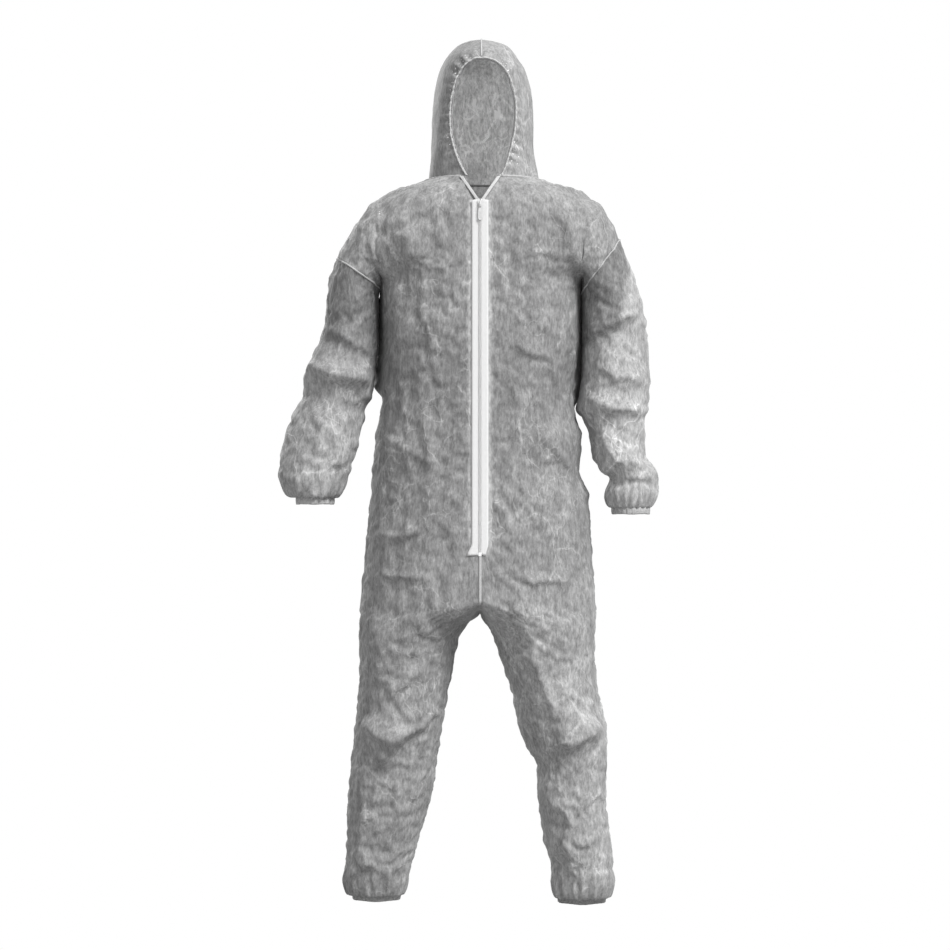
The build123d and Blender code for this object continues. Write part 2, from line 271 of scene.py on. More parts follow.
def torso_and_leg(side):
    """One half of the torso, open at the front and back centre, and the whole leg below it."""
    zs = heights(TORSO, 0.0, CROTCH, CELL)
    p = profile(TORSO, zs)
    n_out = 70
    rings = []
    for z, (cx, rx, cy, ry) in zip(zs, p):
        half = oval(-pi / 2, pi / 2, rx + side * cx, ry)
        opening = COLLAR_HALF * max(0.0, (z - ZIP_TOP) / -ZIP_TOP)
        keep = half[:, 0] >= opening
        keep |= half[:, 1] > 0
        start = np.array([[opening, np.interp(opening, half[:120, 0], half[:120, 1])]])
        line = even(np.vstack([start, half[keep]]) if opening > 0 else half, n_out)
        line[-1, 0] = 0.0
        if opening == 0:
            line[0, 0] = 0.0
        # Under the arms the cloth is pulled back, so the torso is widest behind its middle.
        under = smooth((-0.205 - z) / 0.012) * (1 - smooth((ARM_LEAVES[side] - z) / 0.035))
        before = line[:, 0].copy()
        arm = profile(SLEEVE[side], z)
        arm_side = ARMHOLE_X if z > -0.33 else side * arm[0] - arm[1]
        reach = arm_side + 0.002 - 0.965 * (rx + side * cx)
        behind = np.exp(-(((line[:, 1] - 0.045) / 0.036) ** 2))
        line[:, 0] += max(reach, 0.0) * under * behind * smooth(line[:, 0] / 0.15)
        if z > -0.238:
            line[:, 0] = np.minimum(line[:, 0], np.maximum(before, ARMHOLE_X - 0.0015))
        rings.append([(side * x, y + cy, z) for x, y in line])
    add_rings(rings, False, lambda r: TAG["torso_" + SIDE[side]])
    n_in = 32
    end = HEM_BOX["ankle_" + SIDE[side]][1][2]
    lz = heights([(a, side * b, c, d, e) for a, b, c, d, e in LEG[side]], CROTCH, end, CELL)
    lp = profile(LEG[side], lz)
    corner = radians(128)
    seat = np.array(rings[-1])[:, :2] * (side, 1)
    inner_seat = np.stack([np.zeros(n_in), np.linspace(seat[-1, 1], seat[0, 1], n_in)], -1)
    leg_rings = []
    for z, (cx, rx, cy, ry) in zip(lz, lp):
        t = 1 - np.exp(-(CROTCH - z) / 0.026) * (1 - smooth((CROTCH - z) / 0.10))
        outer = even(oval(-corner, corner, rx, ry, LEG_POWER), n_out) + (side * cx, cy)
        inner = even(oval(corner, 2 * pi - corner, rx, ry, LEG_POWER), n_in) + (side * cx, cy)
        ring = np.vstack([seat * (1 - t) + outer * t, (inner_seat * (1 - t) + inner * t)[1:-1]])
        leg_rings.append([(side * x, y, z - slump(z, end, 0.017)) for x, y in ring])
    thigh, shin = TAG["thigh_" + SIDE[side]], TAG["shin_" + SIDE[side]]
    add_rings(leg_rings, True, lambda r: thigh if lz[r + 1] > THIGH_END else shin)


torso_and_leg(LEFT)
torso_and_leg(RIGHT)


def build_net():
    """Welds the halves, cuts the armholes and adds the sleeves."""
    bm = bmesh.new()
    vs = [bm.verts.new(v) for v in verts]
    for f, tag in zip(faces, tags):
        face = bm.faces.new([vs[i] for i in f])
        face.material_index = tag
    bmesh.ops.remove_doubles(bm, verts=bm.verts, dist=0.0004)
    for side in (LEFT, RIGHT):
        near = [
            f for f in bm.faces
            if f.calc_center_median().z > ARMPIT_Z and side * f.calc_center_median().x > 0.15
        ]
        geom = near + list({e for f in near for e in f.edges}) + list({v for f in near for v in f.verts})
        bmesh.ops.bisect_plane(bm, geom=geom, dist=1e-5, plane_co=(side * ARMHOLE_X, 0, 0), plane_no=(side, 0, 0))
        gone = [
            f for f in bm.faces
            if side * f.calc_center_median().x > ARMHOLE_X and f.calc_center_median().z > ARMPIT_Z
        ]
        bmesh.ops.delete(bm, geom=gone, context="FACES")
    arm_faces = {}
    for side in (LEFT, RIGHT):
        def on_edge(v):
            return v.is_boundary and abs(side * v.co.x - ARMHOLE_X) < 1e-4 and v.co.z > ARMPIT_Z
        rim = [v for v in bm.verts if on_edge(v)]
        bmesh.ops.remove_doubles(bm, verts=rim, dist=0.0045)
        rim = [v for v in bm.verts if v.is_valid and on_edge(v)]
        start = max(rim, key=lambda v: v.co.z)
        loop, seen, v = [start], {start}, start
        while True:
            step = [e.other_vert(v) for e in v.link_edges if e.is_boundary]
            step = [w for w in step if w not in seen and abs(side * w.co.x - ARMHOLE_X) < 1e-4]
            if not step:
                break
            v = step[0]
            loop.append(v)
            seen.add(v)
        arm_faces[side] = add_sleeve(bm, side, loop)
    bmesh.ops.remove_doubles(bm, verts=bm.verts, dist=0.0002)
    bmesh.ops.recalc_face_normals(bm, faces=bm.faces)
    # Each closed stretch of the net is turned so that its faces point away from the body.
    chest = min(bm.faces, key=lambda f: (f.calc_center_median() - Vector((0.08, -0.15, -0.3))).length)
    if chest.normal.y > 0:
        bmesh.ops.reverse_faces(bm, faces=bm.faces)
    for side, made_faces in arm_faces.items():
        made_faces = [f for f in made_faces if f.is_valid]
        outward = 0.0
        for f in made_faces:
            c = f.calc_center_median()
            if c.z < -0.34:
                axis = profile(SLEEVE[side], c.z)
                outward += f.normal.x * (c.x - axis[0]) + f.normal.y * (c.y - axis[2])
        if outward < 0:
            bmesh.ops.reverse_faces(bm, faces=made_faces)
    return bm


def add_sleeve(bm, side, loop):
    """Sleeve from the loop of the armhole down to the wrist. Returns its faces."""
    ring0 = np.array([v.co for v in loop])
    if ring0[len(loop) // 4, 1] > 0:
        loop.reverse()
        loop.insert(0, loop.pop())
        ring0 = np.array([v.co for v in loop])
    z_low, z_high = ring0[:, 2].min(), ring0[:, 2].max()
    y_mid, b0 = (ring0[:, 1].max() + ring0[:, 1].min()) / 2, np.ptp(ring0[:, 1]) / 2
    c0, a0 = (z_low + z_high) / 2, (z_high - z_low) / 2
    u = (ring0[:, 2] - c0) / a0
    w = (ring0[:, 1] - y_mid) / b0
    angle = np.arctan2(w, u)
    # Tilting rings carry the sleeve round from the upright armhole to level sections.
    top = np.array(SHOULDER[side], float) * MM
    top[0] = (ARMHOLE_X, z_high)
    turn_end = SLEEVE[side][0][0] * MM
    n_turn = 36
    outer = even(top, n_turn)
    p_end = profile(SLEEVE[side], turn_end)
    inner_end = side * p_end[0] - p_end[1]
    slow = np.linspace(0, 1, n_turn) ** 2.2
    inner = np.stack([ARMHOLE_X + (inner_end - ARMHOLE_X) * slow, z_low + (turn_end - z_low) * slow], -1)
    drawn_in = np.exp(-(((slow - 0.08) / 0.10) ** 2)) * smooth(np.arange(n_turn) / 4)
    inner[:, 0] -= ARM_DRAWN_IN[side] * drawn_in
    rings = []
    for k in range(1, n_turn):
        t = smooth(k / (n_turn - 1) * 1.6)
        s = k / (n_turn - 1)
        mid, arm = (outer[k] + inner[k]) / 2, (outer[k] - inner[k]) / 2
        b = b0 * (1 - smooth(s)) + p_end[3] * smooth(s)
        yc = y_mid * (1 - s) + p_end[2] * s
        uu = u * (1 - t) + np.cos(angle) * t
        ww = w * (1 - t) + np.sin(angle) * t
        rings.append(np.stack([side * (mid[0] + arm[0] * uu), yc + b * ww, mid[1] + arm[1] * uu], -1))
    end = HEM_BOX["wrist_" + SIDE[side]][1][2]
    zs = heights([(a, side * b, c, d, e) for a, b, c, d, e in SLEEVE[side]], turn_end, end, CELL)[1:]
    for z, (cx, rx, cy, ry) in zip(zs, profile(SLEEVE[side], zs)):
        low = np.full(len(angle), z - slump(z, end, 0.010))
        rings.append(np.stack([cx + side * rx * np.cos(angle), cy + ry * np.sin(angle), low], -1))
    last, new_faces = loop, []
    for k, ring in enumerate(rings):
        tag = TAG[("torso_" if k < DROP_RINGS[side] else "sleeve_") + SIDE[side]]
        row = [bm.verts.new(p) for p in ring]
        for i in range(len(row)):
            j = (i + 1) % len(row)
            f = bm.faces.new((last[i], last[j], row[j], row[i]))
            f.material_index = tag
            new_faces.append(f)
        last = row
    return new_faces


bm = build_net()
for v in bm.verts:
    # The crotch seam dips towards its middle, between the legs.
    x, y, z = v.co
    lift = 0.022 * (y / 0.15) ** 2 * np.exp(-abs(x) / 0.05) * np.exp(-abs(z - CROTCH) / 0.05)
    v.co.z += lift
net_mesh = bpy.data.meshes.new("net")
bm.to_mesh(net_mesh)
bm.free()
net = place("net", net_mesh)


def get_points(mesh):
    p = np.empty(len(mesh.vertices) * 3)
    mesh.vertices.foreach_get("co", p)
    return p.reshape(-1, 3)


def get_normals(mesh):
    """Normals of the points, worked out from the triangles as they stand now."""
    mesh.calc_loop_triangles()
    tri = np.empty(len(mesh.loop_triangles) * 3, np.int32)
    mesh.loop_triangles.foreach_get("vertices", tri)
    tri = tri.reshape(-1, 3)
    p = get_points(mesh)
    face = np.cross(p[tri[:, 1]] - p[tri[:, 0]], p[tri[:, 2]] - p[tri[:, 0]])
    n = np.zeros_like(p)
    for k in range(3):
        np.add.at(n, tri[:, k], face)
    return n / (np.linalg.norm(n, axis=1)[:, None] + 1e-15)


def set_points(mesh, p):
    mesh.vertices.foreach_set("co", p.astype(np.float32).ravel())
    mesh.update()


# ---------------------------------------------------------------- folds that the worn shape always has
def ridged(points, scale, seed, stretch=(1, 1, 1), octaves=2, sharp=1.6):
    """Noise with narrow crests, from about -0.5 to 0.5: the way stiff cloth buckles."""
    n = fractal(points, scale, octaves, seed, stretch)
    return (1 - np.clip(np.abs(n) * sharp, 0, 1)) - 0.5


# The main folds of the worn suit: where each runs (x, z in millimetres), its height, its width, and its face.
# The front ones are placed after the photograph, and the back ones are assumed.
FOLDS = [
    # right leg, seen on the left from the front: overhang above the knee, diagonal pulls, long upright folds
    ([(-238, -1092), (-212, -1112), (-180, -1122), (-150, -1112)], 13, 22, "front"),
    ([(-84, -1062), (-120, -1090), (-158, -1120), (-196, -1168), (-225, -1184)], 10, 17, "front"),
    ([(-150, -1106), (-175, -1140), (-205, -1180)], 6, 8, "front"),
    ([(-250, -1150), (-236, -1215), (-232, -1290), (-244, -1372), (-262, -1420)], 8, 14, "front"),
    ([(-165, -1180), (-172, -1270), (-190, -1352)], 5, 9, "front"),
    ([(-262, -1412), (-236, -1392), (-212, -1352)], 6, 10, "front"),
    ([(-205, -900), (-196, -960), (-214, -1020)], 5, 12, "front"),
    ([(-100, -985), (-140, -1005), (-180, -1038)], 6, 14, "front"),
    # left leg: square bulge over the knee, edge running down to it, zig-zag crease on the shin
    ([(96, -940), (126, -1020), (150, -1064), (168, -1118)], 7, 13, "front"),
    ([(150, -1124), (178, -1130), (206, -1120), (240, -1094)], 14, 24, "front"),
    ([(268, -958), (240, -972), (205, -968)], 9, 16, "front"),
    ([(176, -1230), (168, -1262), (178, -1290), (172, -1330), (182, -1366), (176, -1400)], 9, 9, "front"),
    ([(128, -1205), (142, -1248), (158, -1278)], 8, 12, "front"),
    ([(226, -1190), (214, -1240), (196, -1276)], 6, 10, "front"),
    ([(140, -1390), (158, -1352), (150, -1320), (134, -1298)], 6, 10, "front"),
    ([(236, -1330), (206, -1340), (188, -1324)], 5, 9, "front"),
    # chest and belly: pleats that hang from the shoulders and pull at the armpits and hips
    ([(-192, -70), (-216, -120), (-222, -172)], 8, 13, "front"),
    ([(-180, -120), (-206, -170), (-200, -226)], 8, 12, "front"),
    ([(-150, -105), (-136, -140), (-140, -178)], 6, 14, "front"),
    ([(-204, -292), (-176, -268), (-158, -210)], 8, 15, "front"),
    ([(-204, -405), (-160, -330), (-150, -270)], 7, 13, "front"),
    ([(-110, -250), (-98, -350), (-84, -430)], 4, 12, "front"),
    ([(-118, -470), (-104, -550), (-108, -640)], 5, 12, "front"),
    ([(-196, -520), (-150, -545), (-120, -560)], 6, 18, "front"),
    ([(160, -78), (186, -150), (206, -220)], 8, 12, "front"),
    ([(196, -92), (204, -150), (212, -206)], 8, 12, "front"),
    ([(128, -220), (134, -310), (142, -390), (160, -440)], 6, 12, "front"),
    ([(60, -330), (90, -352), (140, -360)], 5, 12, "front"),
    ([(110, -500), (150, -555), (196, -610)], 6, 16, "front"),
    ([(56, -380), (72, -450), (60, -520)], 4, 12, "front"),
    ([(-210, -716), (-160, -722), (-110, -700)], 5, 12, "front"),
    ([(-214, -792), (-150, -802), (-90, -802)], 4, 10, "front"),
    ([(60, -800), (120, -808), (196, -800)], 4, 10, "front"),
    # sleeves: the big fold at the right elbow, the pulls of the left one
    ([(-352, -372), (-322, -392), (-280, -404), (-214, -408)], 16, 22, "arm"),
    ([(-300, -300), (-262, -330), (-220, -352)], 9, 16, "arm"),
    ([(-340, -470), (-318, -500), (-330, -560)], 7, 18, "arm"),
    ([(-262, -470), (-290, -520), (-286, -580)], 7, 15, "arm"),
    ([(214, -330), (254, -296), (322, -268)], 13, 20, "arm"),
    ([(204, -438), (250, -462), (330, -464)], 10, 18, "arm"),
    ([(226, -366), (280, -400), (336, -408)], 8, 16, "arm"),
    ([(240, -500), (276, -566), (334, -578)], 10, 18, "arm"),
    ([(280, -620), (306, -600), (352, -604)], 8, 12, "arm"),
    # back: pulls between the shoulders and from the waist elastic, and behind the knees
    ([(-170, -90), (-120, -180), (-90, -300)], 8, 18, "back"),
    ([(165, -90), (126, -190), (100, -310)], 8, 18, "back"),
    ([(-180, -420), (-110, -470), (-100, -600)], 8, 16, "back"),
    ([(186, -424), (118, -480), (90, -610)], 8, 16, "back"),
    ([(-220, -1050), (-160, -1085), (-90, -1064)], 9, 20, "back"),
    ([(226, -1056), (166, -1090), (94, -1066)], 9, 20, "back"),
]


def stroke(p, line, width):
    """Height from 0 to 1 of a fold that runs along a line of X and Z, and fades at its two ends."""
    line = even(np.array(line, float) * MM, 24)
    d = p[:, None, [0, 2]] - line[None]
    i = np.argmin((d ** 2).sum(-1), axis=1)
    t = i / 23.0
    run = np.gradient(line, axis=0)
    run /= np.linalg.norm(run, axis=1)[:, None]
    near = d[np.arange(len(p)), i]
    off = near[:, 0] * run[i, 1] - near[:, 1] * run[i, 0]
    gap = np.linalg.norm(near, axis=1) / (width * MM)
    lean = np.where(off * np.sign(run[i, 0] - 0.3 * run[i, 1] + 1e-6) > 0, 0.6, 1.5)
    gap = gap / lean
    return np.exp(-(gap ** 1.35)) * smooth(t / 0.3) ** 0.5 * smooth((1 - t) / 0.3) ** 0.5


def folds(p, n, on_left_arm, on_right_arm):
    """How far each point moves out along its normal, in metres."""
    x, y, z = p.T
    out = np.zeros(len(p))
    body = ~(on_left_arm | on_right_arm)
    for on, s in ((on_left_arm, 1), (on_right_arm, -1)):
        q = p[on]
        turned = np.stack([q[:, 0], q[:, 1], q[:, 2] + s * 0.6 * q[:, 0] + 0.2 * q[:, 1]], -1)
        big = ridged(turned, 0.15, 2.0 + s, (0.8, 0.8, 1.2), 2, 1.9)
        small = ridged(turned, 0.07, 7.0 + s, (0.8, 0.8, 1.3), 2, 1.7)
        out[on] += 0.0065 * big + 0.0022 * small
    leg = body & (z < CROTCH - 0.005)
    q = p[leg]
    upright = ridged(q, 0.10, 17.0, (1.4, 1.4, 0.45), 2, 1.7)
    mixed = ridged(q, 0.085, 19.0, (1, 1, 0.9), 3, 1.7)
    out[leg] += 0.0048 * upright * (0.5 + 0.5 * smooth((-1.12 - q[:, 2]) / 0.12)) + 0.0026 * mixed
    trunk = body & ~leg
    q = p[trunk]
    away = smooth((np.abs(q[:, 0]) - 0.028) / 0.04)
    away = np.where(q[:, 1] > 0, 1.0, away)
    fall = ridged(q, 0.085, 23.0, (1.5, 1.5, 0.18), 2, 1.7)
    mixed = ridged(q, 0.085, 29.0, (1, 1, 0.8), 3, 1.7)
    shoulder = np.exp(-((q[:, 2] + 0.14) / 0.12) ** 2)
    out[trunk] += away * (0.0040 * fall * (0.7 + 0.6 * shoulder) + 0.0018 * mixed)
    for line, height, width, face in FOLDS:
        on = {"front": body & (y < 0), "back": body & (y > 0), "arm": ~body & (y < 0.02)}[face]
        facing = smooth((-n[on, 1] if face != "back" else n[on, 1]) / 0.35 + (0.5 if face == "arm" else 0.1))
        sway = [fractal(p[on], 0.06, 2, 50.0), np.zeros(on.sum()), fractal(p[on], 0.06, 2, 60.0)]
        wobble = p[on] + 0.008 * np.stack(sway, -1)
        gain = 1.15 if face == "arm" else 1.35
        out[on] += gain * height * MM * facing * stroke(wobble, line, width)
    # The outline stays calm: at the sides the cloth lies close to the body.
    out *= 1 - 0.7 * smooth((np.abs(n[:, 0]) - 0.72) / 0.2)
    # Where the sleeve lies against the body neither of them can fold.
    out *= 1 - 0.9 * beside_arm(x, z, 0.013)
    # The ends are drawn in by elastic, so the folds die away there.
    ends = np.minimum(smooth(-z / 0.05), 1.0)
    for span in HEM_BOX.values():
        near = np.linalg.norm(p - centre_of(span), axis=1)
        ends = np.minimum(ends, smooth((near - 0.045) / 0.05))
    return out * ends


def gathers(p):
    """Small upright pleats where the elastic draws in each wrist and ankle, in metres."""
    out = np.zeros(len(p))
    for span in HEM_BOX.values():
        centre = centre_of(span)
        up_by = p[:, 2] - span[1][2]
        radial = np.hypot(p[:, 0] - centre[0], p[:, 1] - centre[1])
        on = (up_by < 0.09) & (radial < 0.11)
        a = np.arctan2(p[on, 1] - centre[1], p[on, 0] - centre[0])
        wander = 0.5 * fractal(p[on], 0.05, 1, 41.0)
        wave = np.sin(19 * a + 3 * wander) + 0.6 * np.sin(31 * a + 2 + 3 * wander)
        rise = up_by[on]
        out[on] = 0.0024 * wave * smooth(rise / 0.012 + 0.35) * (1 - smooth((rise - 0.02) / 0.06))
    return out


def members(mesh, *names):
    """Which points belong to the named parts of the net."""
    on = np.zeros(len(mesh.vertices), bool)
    wanted = {TAG[n] for n in names}
    on[[i for f in mesh.polygons if f.material_index in wanted for i in f.vertices]] = True
    return on


points = get_points(net_mesh)
normals = get_normals(net_mesh)
arms = {k: members(net_mesh, "sleeve_" + v) for k, v in SIDE.items()}
out = folds(points, normals, arms[LEFT], arms[RIGHT]) + gathers(points)
set_points(net_mesh, points + normals * out[:, None])


# ---------------------------------------------------------------- cloth simulation
def simulate(ob, hold, frames=20, grow=0.07):
    """Points of a sheet that is slightly too large for the places that hold it, once it has buckled."""
    group = ob.vertex_groups.new(name="hold")
    for i, w in enumerate(hold):
        group.add([i], float(w), "REPLACE")
    scene = bpy.context.scene
    scene.frame_start, scene.frame_end = 1, frames
    mod = ob.modifiers.new("Cloth", "CLOTH")
    s = mod.settings
    s.quality = 5
    s.mass = 0.12
    s.air_damping = 3.0
    s.tension_stiffness = s.compression_stiffness = 18
    s.shear_stiffness = 8
    s.bending_stiffness = 0.05
    s.tension_damping = s.compression_damping = 10
    s.shear_damping = 8
    s.bending_damping = 1.0
    s.vertex_group_mass = "hold"
    s.pin_stiffness = 1.0
    s.shrink_min = -grow
    s.effector_weights.gravity = 0.15
    mod.collision_settings.use_collision = False
    mod.collision_settings.use_self_collision = False
    mod.point_cache.frame_start, mod.point_cache.frame_end = 1, frames
    for f in range(1, frames + 1):
        scene.frame_set(f)
    dg = bpy.context.evaluated_depsgraph_get()
    done = bpy.data.meshes.new_from_object(ob.evaluated_get(dg))
    result = get_points(done)
    ob.modifiers.remove(mod)
    ob.vertex_groups.clear()
    scene.frame_set(1)
    bpy.data.meshes.remove(done)
    return result


def hold_weights(p):
    """How firmly the cloth keeps its shape: fully at the zip, neck and ends, and half as firmly elsewhere."""
    x, y, z = p.T
    w = np.full(len(p), 0.48)
    zip_zone = (y < -0.06) & (z > CROTCH - 0.01)
    w = np.maximum(w, np.where(zip_zone, 1.0 - smooth((np.abs(x) - 0.022) / 0.02), 0))
    w = np.maximum(w, 1.0 - smooth((-z - 0.004) / 0.02))
    w = np.maximum(w, beside_arm(x, z, 0.012))
    for span in HEM_BOX.values():
        centre = centre_of(span)
        near = np.abs(z - span[1][2])
        within = np.hypot(x - centre[0], y - centre[1]) < 0.09
        w = np.maximum(w, np.where(within, 1.0 - smooth(near / 0.02), 0))
    return np.clip(w, 0, 1)


set_points(net_mesh, simulate(net, hold_weights(get_points(net_mesh))))

sub = net.modifiers.new("Subdivision", "SUBSURF")
sub.levels = sub.render_levels = 1
dg = bpy.context.evaluated_depsgraph_get()
fine = bpy.data.meshes.new_from_object(net.evaluated_get(dg))
bpy.data.objects.remove(net)


# ---------------------------------------------------------------- fine crumple of stiff paper-like cloth
def crumple(p):
    """Fine creases: their height in metres, and how strongly each point lies on the top of a crease, where a
    highlight is painted later.
    """
    x, y, z = p.T
    at_zip = (y < -0.1) & (np.abs(x) < 0.03) & (z > -0.86)
    quiet = np.where(at_zip, smooth((np.abs(x) - 0.017) / 0.015), 1.0)
    down = np.where(z > CROTCH, 0.45, 0.8)
    bent = p + 0.012 * np.stack([fractal(p, 0.05, 2, seed) for seed in (70.0, 80.0, 90.0)], -1)
    bent[:, 2] *= down
    a = creases(bent, 0.060, 1.0, (1.0, 1.0, 1.0), 4.0)
    b = creases(bent, 0.028, 9.0, (1.0, 1.0, 1.0), 3.4)
    c = fractal(p, 0.018, 2, 5.0)
    region = np.clip(1.6 * fractal(p, 0.12, 2, 8.0) + 0.55, 0.1, 1.3)
    other = np.clip(1.6 * fractal(p, 0.07, 2, 18.0) + 0.35, 0, 1.2)
    # Mask of the crease tops: it later makes the colour lighter there, a painted highlight.
    crest_highlight = quiet * np.clip(region * a + 0.7 * other * b, 0, 1.3)
    return quiet * (0.0020 * region * a + 0.0009 * other * b + 0.0003 * c), crest_highlight


fine_p = get_points(fine)
fine_n = get_normals(fine)
relief, crest_highlight = crumple(fine_p)
fine_p = fine_p + fine_n * relief[:, None]
set_points(fine, fine_p)
fine_n = get_normals(fine)


# ---------------------------------------------------------------- materials
def surface(name, **values):
    """New material, its node tree and its surface node with the given values."""
    m = bpy.data.materials.new(name)
    m.use_nodes = True
    bsdf = m.node_tree.nodes["Principled BSDF"]
    for key, value in values.items():
        bsdf.inputs[key.replace("_", " ")].default_value = value
    return m, m.node_tree, bsdf


def shader_node(tree, kind, inputs, **settings):
    """New shader node. Each input is given a value, or the output of another node."""
    n = tree.nodes.new("ShaderNode" + kind)
    for key, value in settings.items():
        setattr(n, key, value)
    for key, value in inputs.items():
        if isinstance(value, bpy.types.NodeSocket):
            tree.links.new(value, n.inputs[key])
        else:
            n.inputs[key].default_value = value
    return n


def nonwoven():
    """Thin fibrous cloth: a tone for each part of the suit, with painted light and shade in it, cloudy mottling and
    short upright fibres.
    """
    m, nt, bsdf = surface("nonwoven", Roughness=0.72, Sheen_Weight=0.05, Specular_IOR_Level=0.2)

    def new(kind, inputs, **settings):
        return shader_node(nt, kind, inputs, **settings)

    def stretched(vector, stretch):
        return new("Mapping", {"Scale": stretch, "Vector": vector}).outputs["Vector"]

    def noise_at(scale, detail, stretch, rough=0.6):
        values = {"Scale": scale, "Detail": detail, "Roughness": rough, "Vector": stretched(where, stretch)}
        return new("TexNoise", values).outputs["Fac"]

    def maths(op, *values):
        return new("Math", dict(enumerate(values)), operation=op).outputs[0]

    def span(value, low, high):
        """Goes from 0 to 1 as the value goes from low to high."""
        return new("MapRange", {"From Min": low, "From Max": high, "Value": value}).outputs["Result"]

    where = new("TexCoord", {}).outputs["Object"]
    # The tone attribute holds the painted light and shade of the cloth as well as its own lightness.
    tone = new("Attribute", {}, attribute_name="tone").outputs["Fac"]
    cloud = maths("MULTIPLY_ADD", noise_at(34, 4, (1, 1, 0.5), 0.65), 1.1, 0.45)
    fleck = noise_at(190, 3, (1, 1, 0.40), 0.75)
    contrast = maths("MULTIPLY_ADD", fleck, 1.8, 0.1)
    streak = maths("MULTIPLY_ADD", noise_at(700, 2, (1, 1, 0.12), 0.7), 0.6, 0.7)
    value = maths("MULTIPLY", maths("MULTIPLY", tone, cloud), maths("MULTIPLY", contrast, streak))
    # Hairline creases: the walls between warped cells, kept only in some places.
    warp = new("TexNoise", {"Scale": 16, "Detail": 3, "Vector": where}).outputs["Color"]
    warped = new("VectorMath", {0: warp, 1: (0.07, 0.07, 0.07), 2: where}, operation="MULTIPLY_ADD").outputs[0]
    hair = 0.0
    # Each set: scale of the cells, stretch, width of a crease, scale of the mask and the level where it starts
    creased = ((15, (1, 1, 0.42), 0.035, 9, 0.50), (34, (1, 1, 0.7), 0.05, 14, 0.54))
    for scale, stretch, thin, mask_scale, level in creased:
        shape = {"Scale": scale, "Vector": stretched(warped, stretch)}
        cells = new("TexVoronoi", shape, feature="DISTANCE_TO_EDGE")
        line = span(cells.outputs["Distance"], thin, 0.0)
        mask = span(noise_at(mask_scale, 2, (1, 1, 0.7)), level, level + 0.10)
        hair = maths("MAXIMUM", hair, maths("MULTIPLY", line, mask))
    value = maths("MULTIPLY", value, maths("ADD", maths("MULTIPLY", hair, 0.42), 1.0))
    colour = new("CombineColor", {"Red": value, "Green": value, "Blue": value}).outputs["Color"]
    nt.links.new(colour, bsdf.inputs["Base Color"])
    # Light that comes through the thin cloth brightens the inside of the hood and neck.
    glow = new("Attribute", {}, attribute_name="glow").outputs["Fac"]
    nt.links.new(colour, bsdf.inputs["Emission Color"])
    nt.links.new(glow, bsdf.inputs["Emission Strength"])
    height = maths("ADD", maths("MULTIPLY", hair, 2.2), fleck)
    raised = new("Bump", {"Strength": 0.35, "Distance": 0.0006, "Height": height}).outputs["Normal"]
    nt.links.new(raised, bsdf.inputs["Normal"])
    return m


def plain(name, low, high, scale, rough):
    """A finish whose brightness wanders between two greys."""
    m, nt, bsdf = surface(name, Roughness=rough)
    where = shader_node(nt, "TexCoord", {}).outputs["Object"]
    noise = shader_node(nt, "TexNoise", {"Scale": scale, "Detail": 3, "Vector": where}).outputs["Fac"]
    ramp = shader_node(nt, "ValToRGB", {"Fac": noise})
    for stop, position, grey in zip(ramp.color_ramp.elements, (0.3, 0.7), (low, high)):
        stop.position = position
        stop.color = (grey, grey, grey, 1)
    nt.links.new(ramp.outputs["Color"], bsdf.inputs["Base Color"])
    raised = shader_node(nt, "Bump", {"Distance": 0.0003, "Strength": 0.4, "Height": noise})
    nt.links.new(raised.outputs["Normal"], bsdf.inputs["Normal"])
    return m


CLOTH = nonwoven()
HEM = plain("hem", 0.26, 0.42, 260, 0.7)
RIM = plain("rim", 0.34, 0.48, 260, 0.7)
SEAM = plain("seam", 0.30, 0.44, 500, 0.7)
TAPE = plain("tape", 0.54, 0.66, 900, 0.65)
COIL = plain("coil", 0.72, 0.84, 300, 0.4)
SLIDER = plain("slider", 0.50, 0.62, 200, 0.35)
ELASTIC = plain("elastic", 0.36, 0.5, 900, 0.7)


def tone_light_and_shade(p, arm):
    """Brightness of the cloth, with painted light and shade in it: lighter where it is layered or lit through
    (painted light), darker over the trunk (painted shade of the suit's shaded inside showing through).
    """
    x, y, z = p.T
    soft = 0.02 * fractal(p, 0.05, 2, 33.0)
    # Painted shade: the trunk is kept dark where the shaded inside of the suit shows through the thin cloth; it gets
    # lighter towards the top.
    t = np.full(len(p), 0.205 + 0.022 * smooth((z + 0.36) / 0.2))
    t = np.where(~arm & (x > 0), t + 0.045 * smooth((CROTCH + 0.10 - z) / 0.16), t)
    t -= 0.022 * np.exp(-((z + 0.40) / 0.16) ** 2) * (~arm)
    fore = smooth((-0.30 + soft - z) / 0.12)
    # Painted light on the left sleeve: its lower part, below a slanting line, and its outer edge are made lighter,
    # as if lit from that side.
    slope = z - 0.55 * (x - 0.25)
    lit = np.maximum(smooth((-0.30 + soft - slope) / 0.03), smooth((x - 0.287 + soft) / 0.018))
    t = np.where(arm & (x > 0), 0.17 + 0.14 * lit, t)
    t = np.where(arm & (x < 0), 0.155 + 0.10 * fore, t)
    # Both layers of the zip's seam allowance show through beside it.
    beside = (y < -0.1) & (z > ZIP_BOTTOM - 0.03) & (z < ZIP_TOP)
    across = 1 - smooth((np.abs(x) - 0.016) / 0.012)
    t += np.where(beside, 0.20 * across * smooth((z - ZIP_BOTTOM + 0.02) / 0.04), 0)
    return t


def edge_strip(outer_faces, k):
    """Faces that close the edge between an outer layer and the inner one, whose points come k later."""
    once = {}
    for f in outer_faces:
        for i in range(len(f)):
            a, b = f[i], f[(i + 1) % len(f)]
            if (b, a) in once:
                del once[b, a]
            else:
                once[a, b] = True
    return [[b, a, a + k, b + k] for a, b in once]


